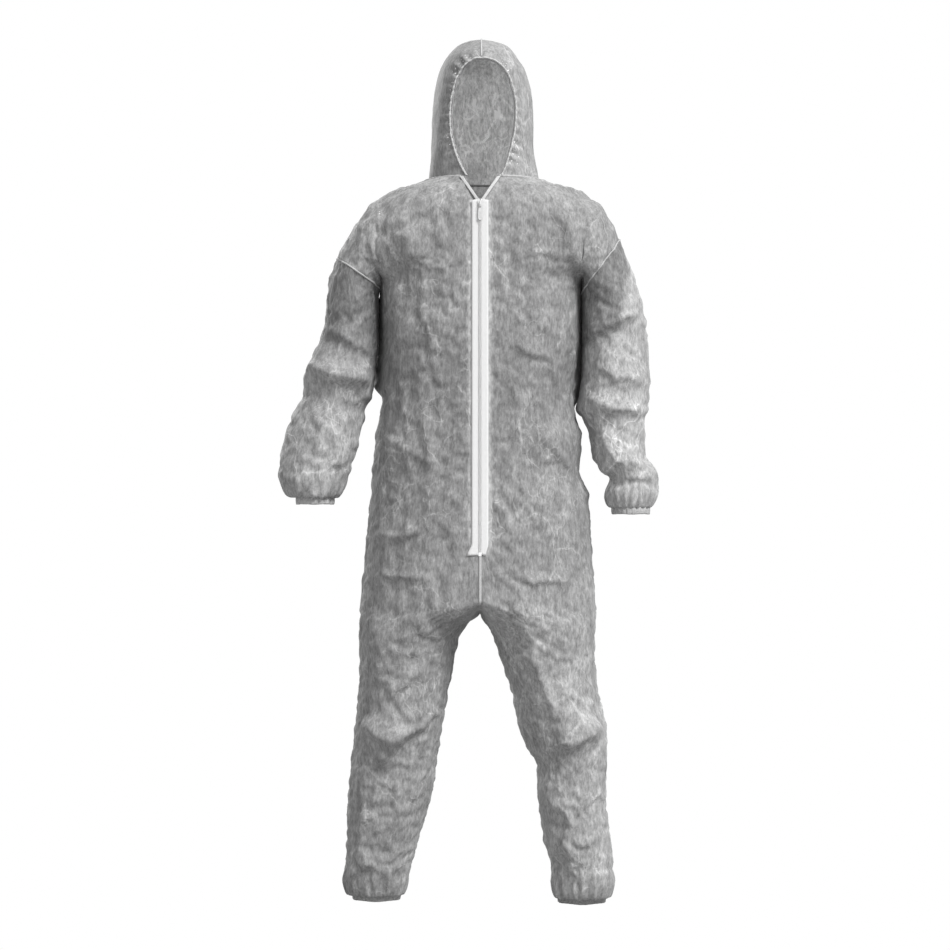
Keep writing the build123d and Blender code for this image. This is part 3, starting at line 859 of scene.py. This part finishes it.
def two_faced(name, outer, normal, outer_faces, tones, glow_inside):
    """Cloth with an outer and an inner face. Its normals come from the whole net, so that cuts don't show."""
    k = len(outer)
    inner_faces = [[i + k for i in reversed(f)] for f in outer_faces]
    all_faces = outer_faces + inner_faces + edge_strip(outer_faces, k)
    ob = new_object(name, np.vstack([outer, outer - normal * CLOTH_T]), all_faces)
    mesh = ob.data
    mesh.polygons.foreach_set("use_smooth", [True] * len(mesh.polygons))
    mesh.normals_split_custom_set_from_vertices([tuple(v) for v in np.vstack([normal, -normal])])
    for key, values in (("tone", tones), ("glow", (0 * glow_inside, glow_inside))):
        attribute = mesh.attributes.new(key, "FLOAT", "POINT")
        attribute.data.foreach_set("value", np.concatenate(values).astype(np.float32))
    mesh.materials.append(CLOTH)
    return ob


def net_piece(name, cells):
    used = np.unique(cells)
    index = np.full(len(fine_p), -1)
    index[used] = np.arange(len(used))
    # Painted light: near the neck the inner face is made lighter and given a glow, for light that comes through the
    # cloth.
    neck = smooth((fine_p[used, 2] + 0.12) / 0.06)
    tones = (tone[used], tone[used] + 0.42 * neck)
    return two_faced(name, fine_p[used], fine_n[used], index[cells].tolist(), tones, 0.20 * neck)


quads = np.array([list(f.vertices) for f in fine.polygons if len(f.vertices) == 4])
tag_of_face = np.array([f.material_index for f in fine.polygons if len(f.vertices) == 4])
is_arm = np.zeros(len(fine_p), bool)
is_arm[np.unique(quads[np.isin(tag_of_face, (TAG["sleeve_left"], TAG["sleeve_right"]))])] = True
# Painted highlight: the tops of the fine creases are made up to 22 % lighter.
tone = tone_light_and_shade(fine_p, is_arm) * (1 + 0.22 * crest_highlight)
made = {name: net_piece(name + "_cloth", quads[tag_of_face == tag]) for name, tag in TAG.items()}


# ---------------------------------------------------------------- tubes, ribbons and rings
def tube_along(name, path, radius, material, flat=1.0, sides=8, closed=False, up=None):
    """Tube of a given radius along points. flat squashes it along its local normal."""
    path = np.asarray(path, float)
    tangent = np.roll(path, -1, 0) - np.roll(path, 1, 0) if closed else np.gradient(path, axis=0)
    tangent /= np.linalg.norm(tangent, axis=1)[:, None] + 1e-12
    up = np.tile(np.array([0, -1.0, 0]), (len(path), 1)) if up is None else np.asarray(up, float)
    across = np.cross(tangent, up)
    across /= np.linalg.norm(across, axis=1)[:, None] + 1e-12
    lift = np.cross(across, tangent)
    a = np.arange(sides) * 2 * pi / sides
    radius = np.broadcast_to(np.asarray(radius, float), (len(path),))
    rings = path[:, None] + radius[:, None, None] * (
        across[:, None] * np.cos(a)[None, :, None] + flat * lift[:, None] * np.sin(a)[None, :, None])
    m = len(path)
    f = []
    for i in range(m if closed else m - 1):
        for j in range(sides):
            k, l = (i + 1) % m, (j + 1) % sides
            f.append((i * sides + j, i * sides + l, k * sides + l, k * sides + j))
    if not closed:
        f.append(tuple(range(sides))[::-1])
        f.append(tuple((m - 1) * sides + j for j in range(sides)))
    ob = new_object(name, rings.reshape(-1, 3), f)
    for poly in ob.data.polygons:
        poly.use_smooth = len(poly.vertices) == 4
    ob.data.materials.append(material)
    return ob


def border(part_a, part_b, keep=lambda p: True):
    """Ordered points and normals along the edges where two parts of the net meet, and whether they close."""
    pair = {TAG[part_a], TAG[part_b]}
    owner = {}
    for q, t in zip(quads, tag_of_face):
        for i in range(4):
            e = tuple(sorted((q[i], q[(i + 1) % 4])))
            owner.setdefault(e, set()).add(t)
    links = {}
    for e, t in owner.items():
        if t == pair and keep(fine_p[e[0]]) and keep(fine_p[e[1]]):
            links.setdefault(e[0], []).append(e[1])
            links.setdefault(e[1], []).append(e[0])
    ends = [v for v, l in links.items() if len(l) == 1]
    v = max(ends or links, key=lambda i: fine_p[i][2])
    chain, seen = [v], {v}
    while True:
        step = [w for w in links[v] if w not in seen]
        if not step:
            break
        v = step[0]
        chain.append(v)
        seen.add(v)
    return fine_p[chain], fine_n[chain], not ends


def ridge(seam, border_line, lift, radius, flat):
    """Tube that stands for the ridge of a sewn seam."""
    line, up, closed = border_line
    return tube_along(seam + "_ridge", line + up * lift, radius, SEAM, flat, closed=closed, up=up)


seam_obs = {}
for s in SIDE.values():
    armhole = border("torso_" + s, "sleeve_" + s)
    seam_obs["armhole_" + s] = ridge(f"armhole_seam_{s}", armhole, 0.0008, 0.0017, 0.6)
halves = ("torso_left", "torso_right")
seam_obs["back"] = ridge("back_seam", border(*halves, lambda p: p[1] > 0), 0.0006, 0.0014, 0.6)
below_zip = border(*halves, lambda p: p[1] < -0.03 and p[2] < ZIP_BOTTOM)
seam_obs["front"] = ridge("front_seam", below_zip, 0.0008, 0.0030, 0.4)


# ---------------------------------------------------------------- hood
# Face opening: half width and height, in millimetres
FACE = [(35, 0), (48, 28), (58, 62), (64.5, 94), (66, 131), (61, 169), (51, 201), (30, 227), (0, 236)]
FACE_CUT = -0.093
HOOD_MIDDLE = 0.003


def rim_bow():
    """How far the hood moves back at each height so that a flat cut leaves the face opening."""
    z = np.linspace(FACE[0][1], FACE[-1][1], 120) * MM
    squared = profile([(up, half * half) for half, up in FACE], z)[:, 0]
    w = np.sqrt(np.maximum(squared, 0) * MM)
    cx, rx, cy, ry = profile(HOOD, z).T
    return z, FACE_CUT - (cy - ry * (1 - (w / rx) ** HOOD_POWER) ** (1 / HOOD_POWER))


def build_hood():
    """Net of the hood, with the face opening cut out, and the points of the opening's rim."""
    zs = heights(HOOD, 0.284, 0.0, 0.0048)
    n = 150
    rings = []
    for z, (cx, rx, cy, ry) in zip(zs, profile(HOOD, zs)):
        ring = even(oval(0, 2 * pi, rx, ry, HOOD_POWER, 400), n + 1)[:-1] + (cx, cy)
        rings.append([(x, y, z) for x, y in ring])
    bm = bmesh.new()
    rows = [[bm.verts.new(p) for p in ring] for ring in rings]
    crown = bm.verts.new((0.005, 0, 0.2865))
    for a, b in zip(rows, rows[1:]):
        for i in range(n):
            j = (i + 1) % n
            bm.faces.new((a[i], a[j], b[j], b[i]))
    for i in range(n):
        bm.faces.new((rows[0][i], crown, rows[0][(i + 1) % n]))
    # The face opening is narrow at the neck: the lower front bows forward before the cut and back after it.
    bow_z, bow_y = rim_bow()

    def bow(z):
        return float(np.interp(z, bow_z, bow_y))

    def slice_at(co, no, clear_outer=False):
        everything = bm.faces[:] + bm.edges[:] + bm.verts[:]
        bmesh.ops.bisect_plane(bm, geom=everything, dist=1e-5, plane_co=co, plane_no=no, clear_outer=clear_outer)

    def rim():
        return [v for v in bm.verts if v.is_boundary and abs(v.co.y - FACE_CUT) < 1e-4]

    for v in bm.verts:
        v.co.y += bow(v.co.z)
    slice_at((0, FACE_CUT, 0), (0, -1, 0), clear_outer=True)
    bmesh.ops.remove_doubles(bm, verts=rim(), dist=0.002)
    slice_at((HOOD_MIDDLE, 0, 0), (1, 0, 0))
    bm.verts.index_update()
    rim_ids = [v.index for v in rim()]
    for v in bm.verts:
        v.co.y -= bow(v.co.z)
    bmesh.ops.recalc_face_normals(bm, faces=bm.faces)
    mesh = bpy.data.meshes.new("hood_net")
    bm.to_mesh(mesh)
    bm.free()
    return mesh, np.array(rim_ids)


hood_mesh, rim_ids = build_hood()
hp, hn = get_points(hood_mesh), get_normals(hood_mesh)
rim_p = hp[rim_ids]
turn = np.arctan2(rim_p[:, 2] - 0.12, rim_p[:, 0] - HOOD_MIDDLE)
order = np.argsort(np.where(turn < -pi / 2, turn + 2 * pi, turn))
rim_p = rim_p[order]
# For every point of the hood, how far it is from the rim, and how far round the rim it lies
rim_tree = tree_of(rim_p)
near = [rim_tree.find(v)[1:] for v in hp]
rim_dist = np.array([distance for i, distance in near])
along_rim = np.concatenate(([0], np.cumsum(np.linalg.norm(np.diff(rim_p, axis=0), axis=1))))
rim_s = along_rim[[i for i, distance in near]]
# The elastic gathers the cloth, most of all low on the left and high on the right.
gather = np.sin(2 * pi * rim_s / 0.019 + 1.5 * fractal(hp, 0.04, 2, 2.0))
gather *= np.exp(-((rim_dist - 0.004) / 0.020) ** 2)
uneven = fractal(np.stack([rim_s, rim_s * 0, rim_s * 0], -1), 0.07, 1, 4.0)
strength = 0.5 + 0.7 * np.clip(uneven + 0.4, 0, 1)
low_left = np.exp(-((hp[:, 2] - 0.045) / 0.035) ** 2) * (hp[:, 0] > 0)
high_right = np.exp(-((hp[:, 2] - 0.17) / 0.06) ** 2) * (hp[:, 0] < 0)
strength += 1.0 * low_left + 0.7 * high_right
drape = fractal(hp, 0.09, 2, 11.0, (1.2, 1.2, 0.35))
free = smooth(hp[:, 2] / 0.03)
relief = 0.0020 * gather * strength + 0.0030 * drape * smooth(rim_dist / 0.02) + 0.0010 * creases(hp, 0.045, 4.0)
shift = free * relief
hp = hp + hn * shift[:, None]
set_points(hood_mesh, hp)
hn = get_normals(hood_mesh)
# Painted light: the hood's left half, on the side of the light, is made lighter than its right half; it is also
# lighter towards the back.
hood_tone_and_light = np.where(hp[:, 0] > HOOD_MIDDLE, 0.28, 0.225) + 0.05 * smooth(hp[:, 1] / 0.05)
hood_faces = [list(f.vertices) for f in hood_mesh.polygons]


def hood_piece(name, on_left):
    chosen = [f for f in hood_faces if (np.mean([hp[i][0] for i in f]) > HOOD_MIDDLE) == on_left]
    used = sorted({i for f in chosen for i in f})
    index = {v: i for i, v in enumerate(used)}
    outer = hp[used]
    # Painted light and shade inside the hood: a light tone for light that comes through, with cloudy variation, and
    # painted shade towards its top.
    inside = 0.64 + 0.16 * fractal(outer, 0.03, 2, 6.0, (1.6, 1.0, 0.22)) - 0.16 * smooth((outer[:, 2] - 0.2) / 0.06)
    own_faces = [[index[i] for i in f] for f in chosen]
    return two_faced(name, outer, hn[used], own_faces, (hood_tone_and_light[used], inside), np.full(len(used), 0.17))


for s in SIDE.values():
    made["hood_" + s] = hood_piece(f"hood_{s}_cloth", s == "left")

# Hem and elastic round the face
def soften(line, times):
    for _ in range(times):
        line[1:-1] = (line[:-2] + 2 * line[1:-1] + line[2:]) / 4


rim_p = hp[rim_ids][order]
top_of_rim = rim_p[:, 2].max()
soften(rim_p, 2)
path = even(rim_p, 260)
up = even(hn[rim_ids][order], 260)
i = np.arange(260)
scallop = 0.0019 + 0.0005 * np.sin(i * 1.25) + 0.0003 * np.sin(i * 2.9 + 1)
face_hem = tube_along("face_hem_fold", path, scallop, RIM, 1.0, 10, up=up)
path = path + np.array([0, 0.0045, 0]) - up * 0.0052
face_elastic = tube_along("face_elastic_band", path, 0.0013, ELASTIC, 0.5, 8, up=up)
# Centre seam of the hood, from the opening over the crown and down the back
seam_z = np.concatenate([np.linspace(top_of_rim + 0.002, 0.281, 14), [0.2868], np.linspace(0.281, 0.002, 120)])
cx, rx, cy, ry = profile(HOOD, seam_z).T
reach = ry * np.clip(1 - np.abs((HOOD_MIDDLE - cx) / rx) ** HOOD_POWER, 0, 1) ** (1 / HOOD_POWER)
seam_y = cy + np.concatenate([-np.ones(14), [0], np.ones(120)]) * reach
seam_line = even(np.column_stack([np.full(len(seam_z), HOOD_MIDDLE), seam_y, seam_z]), 150)
hood_tree = tree_of(hp)
found = [hood_tree.find(v) for v in seam_line]
up = np.array([hn[f[1]] for f in found])
seam_line += up * ((np.array([f[0] for f in found]) - seam_line) * up).sum(1)[:, None]
soften(seam_line, 3)
hood_seam = tube_along("hood_seam_ridge", seam_line + up * 0.0008, 0.0017, RIM, 0.7, up=up)
# Neck seam, open at the front
cx, rx, cy, ry = profile(HOOD, 0.0)
curve = oval(-pi / 2, 3 * pi / 2, rx, ry, HOOD_POWER, 500) + (cx, cy)
sewn = (curve[:, 1] >= 0) | (np.abs(curve[:, 0]) >= COLLAR_HALF)
line = even(np.column_stack([curve[sewn], np.zeros(sewn.sum())]), 240)
away = line - (cx, cy, 0)
away /= np.linalg.norm(away, axis=1)[:, None]
radius = 0.0022 + 0.0003 * np.sin(np.arange(240) * 1.1)
neck_seam = tube_along("neck_seam_ridge", line, radius, SEAM, 0.8, up=away)


# ---------------------------------------------------------------- hems and elastics at wrists and ankles
def ring_band(name, span, material, r_out, r_in, z0, z1, waves, amp, layers=8):
    """Rippled ring between two radii and two heights, centred in a box."""
    centre = centre_of(span)
    n = 144
    a = np.arange(n) * 2 * pi / n
    steps = np.linspace(0, 1, layers)
    prof = [(r_out + 0.0009 * sin(pi * t), z1 + (z0 - z1) * t, 1.0) for t in steps]
    prof += [(r_in - 0.0004 * sin(pi * t), z0 + (z1 - z0) * t, 0.6) for t in steps]
    v, f = [], []
    ripple = np.sin(a * waves + 0.8 * np.sin(3 * a)) + 0.5 * np.sin(a * (waves * 2 + 3) + 1.3)
    for r, z, k in prof:
        rr = r + amp * k * ripple
        level = np.full(n, z) + 0.0006 * np.sin(a * 5)
        v.extend(np.column_stack([centre[0] + rr * np.cos(a), centre[1] + rr * np.sin(a), level]))
    m = len(prof)
    for i in range(m):
        for j in range(n):
            k, l = (i + 1) % m, (j + 1) % n
            f.append((i * n + j, k * n + j, k * n + l, i * n + l))
    ob = new_object(name, v, f)
    for poly in ob.data.polygons:
        poly.use_smooth = True
    ob.data.materials.append(material)
    return ob


cuffs = {}
for side in (LEFT, RIGHT):
    s = SIDE[side]
    for kind, waves in (("wrist", 21), ("ankle", 26)):
        hem, el = SPAN[f"{kind}_hem_{s}"], SPAN[f"{kind}_elastic_{s}"]
        r_out = (hem[1][0] - hem[0][0]) / 2
        e_out = (el[1][0] - el[0][0]) / 2
        mount = next(m for m in frame["record"]["mounts"] if m["name"] == f"{kind}_{s}")
        r_in = mount["dims"]["r_mm"] * MM
        cuffs[f"{kind}_hem_{s}"] = ring_band(
            f"{kind}_hem_{s}_casing", hem, HEM,
            r_out - 0.0006, r_in + 0.0003, hem[0][2], hem[1][2] + 0.002, waves, 0.0007)
        cuffs[f"{kind}_elastic_{s}"] = ring_band(
            f"{kind}_elastic_{s}_band", el, ELASTIC,
            e_out - 0.001, e_out - 0.0018, el[0][2] + 0.001, el[1][2] - 0.001, waves, 0.0003, 3)

# Elastic across the back of the waist, drawn as a band lying inside the cloth
wz = (SPAN["waist_elastic"][0][2] + SPAN["waist_elastic"][1][2]) / 2
cx, rx, cy, ry = profile(TORSO, wz)
back = even(oval(radians(35), radians(145), rx, ry), 120) + (cx, cy)
inward = -back / np.linalg.norm(back, axis=1)[:, None]
back = back + inward * 0.012
band_v, band_f = [], []
for i, (x, y) in enumerate(back):
    w = 0.0012 * sin(i * 1.4)
    for dz, d in ((0.012, 0.0), (-0.012, 0.0), (-0.012, 0.0012), (0.012, 0.0012)):
        band_v.append((x + inward[i][0] * (d + w), y + inward[i][1] * (d + w), wz + dz))
for i in range(len(back) - 1):
    for j in range(4):
        k = (j + 1) % 4
        band_f.append((i * 4 + j, i * 4 + k, (i + 1) * 4 + k, (i + 1) * 4 + j))
band_f += [(0, 1, 2, 3), tuple(4 * (len(back) - 1) + j for j in (3, 2, 1, 0))]
waist = new_object("waist_elastic_band", band_v, band_f)
waist.data.materials.append(ELASTIC)


# ---------------------------------------------------------------- zip
TAPE_IN, TAPE_OUT = 0.0008, 0.0167     # edges of each shut tape, from the middle
FREE_TAPE_W = 0.0070                  # what shows of each tape above the slider, where it turns under
tape_y = FRONT - 0.0012


def tape(side):
    """Woven tape: shut along the front, then free along the V up to the neck seam."""
    rows = []
    z_end = ZIP_BOTTOM - 0.004
    # The cut end of each tape: how far it spreads outward, and how far its inner and outer corners hang
    spread, hang_in, hang_out = (-0.006, -0.0012, -0.004) if side == LEFT else (0.009, -0.0030, -0.004)
    for z in np.linspace(z_end, ZIP_TOP, 180):
        low = 1 - smooth((z - z_end) / 0.02)
        rows.append((
            (TAPE_IN, tape_y, z + hang_in * low),
            (TAPE_OUT + spread * low, tape_y - 0.0004, z + hang_out * low),
        ))

    def on_cloth(x, z):
        cx, rx, cy, ry = profile(TORSO, z)
        t = min(abs(x) / (rx + side * cx), 0.98)
        return cy - ry * (1 - t**BODY_POWER) ** (1 / BODY_POWER) - 0.0034

    for z in np.linspace(ZIP_TOP, -0.001, 30)[1:]:
        t = (z - ZIP_TOP) / -ZIP_TOP
        x0 = TAPE_IN * (1 - t) + (COLLAR_HALF - 0.002) * t
        x1 = x0 + FREE_TAPE_W
        rows.append(((x0, on_cloth(x0, z) - 0.0008, z), (x1, on_cloth(x1, z), z)))
    v, f = [], []
    cols = 5
    for a, b in rows:
        a, b = np.array(a), np.array(b)
        for layer in (0.0, 0.0006):
            for c in range(cols):
                p = a + (b - a) * c / (cols - 1)
                v.append((side * p[0], p[1] - 0.0003 + layer, p[2]))
    n = cols * 2
    for r in range(len(rows) - 1):
        for c in range(cols - 1):
            i = r * n + c
            f.append((i, i + 1, i + n + 1, i + n))
            i += cols
            f.append((i, i + n, i + n + 1, i + 1))
        for c in (0, cols - 1):
            i = r * n + c
            f.append((i, i + n, i + n + cols, i + cols))
    for r in (0, len(rows) - 1):
        for c in range(cols - 1):
            i = r * n + c
            f.append((i, i + 1, i + cols + 1, i + cols))
    ob = new_object(f"zip_tape_{SIDE[side]}_woven", v, f)
    ob.data.materials.append(TAPE)
    ob.data.materials.append(RIM)
    for poly in ob.data.polygons:
        poly.material_index = int(poly.center.z > ZIP_TOP + 0.001)
    turn_outward(ob.data)
    for poly in ob.data.polygons:
        poly.use_smooth = True
    return ob


def coil(side):
    """One half of the coil: a flattened helix sewn to the tape's edge."""
    pitch, per_turn = 0.003, 10
    turns = int((ZIP_TOP - ZIP_BOTTOM) / pitch)
    t = np.arange(turns * per_turn) / per_turn
    a = 2 * pi * t
    phase = 0 if side == LEFT else pi
    x = 0.0014 + 0.0013 * np.cos(a + phase)
    y = tape_y - 0.0013 + 0.0009 * np.sin(a + phase)
    z = ZIP_TOP - 0.0005 - t * pitch
    return tube_along(f"zip_coil_{SIDE[side]}_helix", np.column_stack([side * x, y, z]), 0.00052, COIL, 1.0, 5)


def bevelled(name, outline, y_front, y_back, material, bevel=0.0004):
    """Plate with rounded edges from an outline in X and Z."""
    n = len(outline)
    v = [(x, y_front, z) for x, z in outline] + [(x, y_back, z) for x, z in outline]
    f = [tuple(range(n)), tuple(range(2 * n - 1, n - 1, -1))]
    f += [(i, i + n, (i + 1) % n + n, (i + 1) % n) for i in range(n)]
    ob = new_object(name, v, f)
    turn_outward(ob.data, bevel)
    ob.data.materials.append(material)
    return ob


def rect(x0, x1, z_top, z_low):
    return [(x0, z_top), (x1, z_top), (x1, z_low), (x0, z_low)]


def join(name, obs):
    """One object from several of the same material."""
    bm = bmesh.new()
    for o in obs:
        bm.from_mesh(o.data)
        material = o.data.materials[0]
        bpy.data.objects.remove(o)
    mesh = bpy.data.meshes.new(name)
    bm.to_mesh(mesh)
    bm.free()
    mesh.materials.append(material)
    return place(name, mesh)


tapes = {s: tape(s) for s in (LEFT, RIGHT)}
coils = {s: coil(s) for s in (LEFT, RIGHT)}
slider_box, tab_box = SPAN["zip_slider"], SPAN["zip_pull_tab"]
sz = (slider_box[0][2] + slider_box[1][2]) / 2
half_l = (slider_box[1][2] - slider_box[0][2]) / 2
shield = [
    (-0.0054, 0.0065), (-0.0050, 0.001), (-0.0040, -0.0045), (-0.003, -0.0065), (0.003, -0.0065),
    (0.0040, -0.0045), (0.0050, 0.001), (0.0054, 0.0065), (0.002, 0.0058), (-0.002, 0.0058),
]
shield = [(x, z + sz) for x, z in shield]
(_, bridge_y, _), (_, back_y, _) = slider_box
front_y = bridge_y + 0.0046


def post(half, z_top, z_low, y_front, y_back, bevel=0.0002):
    return bevelled("post", rect(-half, half, sz + z_top, sz + z_low), y_front, y_back, SLIDER, bevel)


slider = join("zip_slider_body", [
    bevelled("front_plate", shield, front_y, front_y + 0.0012, SLIDER),
    bevelled("back_plate", shield, back_y - 0.0012, back_y, SLIDER),
    post(0.0010, 0.005, 0.0036, bridge_y + 0.0008, front_y),
    post(0.0010, -0.0036, -0.005, bridge_y + 0.0008, front_y),
    post(0.0010, 0.005, -0.005, bridge_y, bridge_y + 0.0011),
    post(0.0006, half_l, 0.0042, front_y + 0.001, back_y - 0.001, 0.0001),
])
ty = (tab_box[0][1] + tab_box[1][1]) / 2
tz = JOINT["pull_tab_turn"]["pos_m"][2]
end = tab_box[0][2]
leaf = [
    (-0.0028, tz - 0.0078), (0.0028, tz - 0.0078), (0.0038, tz - 0.013), (0.004, end + 0.004),
    (0.0024, end), (-0.0024, end), (-0.004, end + 0.004), (-0.0038, tz - 0.013),
]
tab_parts = [bevelled("leaf", leaf, ty - 0.0006, ty + 0.0006, SLIDER)]
for i in range(5):
    z = tz - 0.014 - i * 0.003
    rib = rect(-0.0028, 0.0028, z + 0.0005, z - 0.0005)
    tab_parts.append(bevelled("rib", rib, ty - 0.0009, ty - 0.0004, SLIDER, 0.0001))
for x0, x1 in ((-0.0028, -0.0015), (0.0015, 0.0028)):
    arm = rect(x0, x1, tz, tz - 0.0085)
    tab_parts.append(bevelled("arm", arm, ty - 0.0006, ty + 0.0006, SLIDER, 0.0002))
pin = [(-0.0028, ty, tz), (0.0, ty, tz), (0.0028, ty, tz)]
tab_parts.append(tube_along("pin", pin, 0.0009, SLIDER, 1.0, 12))
tab = join("zip_pull_tab_leaf", tab_parts)
stops = {}
for n in ("zip_bottom_stop", "zip_top_stop_left", "zip_top_stop_right"):
    (x0, y0, z0), (x1, y1, z1) = SPAN[n]
    stops[n] = bevelled(n + "_crimp", rect(x0, x1, z1, z0), y0, y1, COIL, 0.0003)


# ---------------------------------------------------------------- what follows what
def attach(ob, body, nodes):
    """The piece moves with one body."""
    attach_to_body(ob, body)
    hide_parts(*nodes)


def stretch(ob, upper, lower, start, end, nodes, slot):
    """The piece is fixed where it stands, and the parts that it stands for are hidden."""
    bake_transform(ob)
    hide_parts(*nodes)


NECK_BEND = (0, 0, 0.006), (0, 0, 0.13)
for side in (LEFT, RIGHT):
    s = SIDE[side]
    lower_sleeve, thigh, shin = f"lower_sleeve_{s}", f"thigh_{s}", f"shin_{s}"
    attach(made[f"torso_{s}"], "torso", [f"torso_{s}"])
    elbow = np.array(JOINT[f"elbow_bend_{s}"]["pos_m"])
    stretch(made[f"sleeve_{s}"], "torso", lower_sleeve, elbow + (0, 0, 0.075), elbow - (0, 0, 0.075),
            [f"sleeve_upper_{s}", f"sleeve_lower_{s}"], "nonwoven")
    stretch(made[thigh], "torso", thigh, (0, 0, CROTCH - 0.004), (0, 0, THIGH_END + 0.018),
            [f"leg_upper_{s}"], "nonwoven")
    knee = np.array(JOINT[f"knee_bend_{s}"]["pos_m"])
    up_by = THIGH_END - knee[2] - 0.014
    stretch(made[shin], thigh, shin, knee + (0, 0, up_by), knee - (0, 0, up_by), [f"leg_lower_{s}"], "nonwoven")
    attach(seam_obs["armhole_" + s], "torso", [f"armhole_seam_{s}"])
    for kind, body in (("wrist", lower_sleeve), ("ankle", shin)):
        attach(cuffs[f"{kind}_hem_{s}"], body, [f"{kind}_hem_{s}"])
        attach(cuffs[f"{kind}_elastic_{s}"], body, [f"{kind}_elastic_{s}"])
    attach(tapes[side], "torso", [f"zip_tape_{s}"])
    attach(coils[side], "torso", [f"zip_chain_{s}"])
    attach(stops[f"zip_top_stop_{s}"], "torso", [f"zip_top_stop_{s}"])
    stretch(made[f"hood_{s}"], "torso", "hood", *NECK_BEND, [f"hood_{s}"], "nonwoven")
stretch(face_hem, "torso", "hood", *NECK_BEND, ["face_hem"], "nonwoven")
stretch(face_elastic, "torso", "hood", *NECK_BEND, ["face_elastic"], "elastic")
stretch(hood_seam, "torso", "hood", *NECK_BEND, ["hood_seam"], "seam_thread")
attach(neck_seam, "torso", ["neck_seam"])
attach(seam_obs["front"], "torso", ["front_seam"])
attach(seam_obs["back"], "torso", ["back_seam"])
attach(waist, "torso", ["waist_elastic"])
attach(stops["zip_bottom_stop"], "torso", ["zip_bottom_stop"])
attach(slider, "slider", ["zip_slider"])
attach(tab, "pull_tab", ["zip_pull_tab"])

# ---------------------------------------------------------------- stage, light and camera
def camera_sees(tree, lit, seen, output):
    """Camera rays see one shader and all other rays the other."""
    rays = shader_node(tree, "LightPath", {})
    shaders = {0: rays.outputs["Is Camera Ray"], 1: lit.outputs[0], 2: seen.outputs[0]}
    mix = shader_node(tree, "MixShader", shaders)
    tree.links.new(mix.outputs[0], tree.nodes[output].inputs["Surface"])


FLOOR_HALF = 14.0
floor_z = min(SPAN["ankle_hem_left"][0][2], SPAN["ankle_hem_right"][0][2]) - 0.0015
corners = [(x * FLOOR_HALF, y * FLOOR_HALF, floor_z) for x, y in ((-1, -1), (1, -1), (1, 1), (-1, 1))]
floor = new_object("floor", corners, [(0, 1, 2, 3)])
m, nt, bsdf = surface("floor", Base_Color=(0.35, 0.35, 0.35, 1), Roughness=0.9)
# The floor looks white but lights nothing, so that the folds keep their shade.
pale = shader_node(nt, "Emission", {"Color": (1, 1, 1, 1), "Strength": 1.0})
camera_sees(nt, bsdf, pale, "Material Output")
floor.data.materials.append(m)

bpy.context.scene.view_settings.view_transform = "Standard"
world = bpy.data.worlds.new("studio")
bpy.context.scene.world = world
world.use_nodes = True
ambient = world.node_tree.nodes["Background"]
ambient.inputs["Color"].default_value = (1, 1, 1, 1)
ambient.inputs["Strength"].default_value = 0.50
backdrop = shader_node(world.node_tree, "Background", {"Color": (1, 1, 1, 1), "Strength": 1.0})
camera_sees(world.node_tree, ambient, backdrop, "World Output")


def area_light(name, spot, aim, size, power, seen_by_camera=True):
    data = bpy.data.lights.new(name, "AREA")
    data.shape = "RECTANGLE"
    data.size, data.size_y = size
    data.energy = power
    ob = place(name, data)
    ob.location = spot
    ob.rotation_euler = (Vector(aim) - Vector(spot)).to_track_quat("-Z", "Y").to_euler()
    ob.visible_camera = seen_by_camera


sun = bpy.data.lights.new("key", "SUN")
sun.energy = 4.7
sun.angle = radians(24)
key = place("key", sun)
key.rotation_euler = Vector((-0.46, 0.50, -0.73)).to_track_quat("-Z", "Y").to_euler()
area_light("fill", (-1.6, -3.6, 0.6), (0, 0, -0.7), (1.6, 2.0), 18)
area_light("back", (-2.6, 4.2, 1.6), (0, 0, -0.7), (2.0, 2.4), 190, seen_by_camera=False)

camera = place("camera", bpy.data.cameras.new("camera"))
camera.location = (-0.010, -6.0, -0.597)
camera.rotation_euler = (radians(90), 0, 0)
camera.data.lens = 112
camera.data.sensor_width = 36
bpy.context.scene.camera = camera
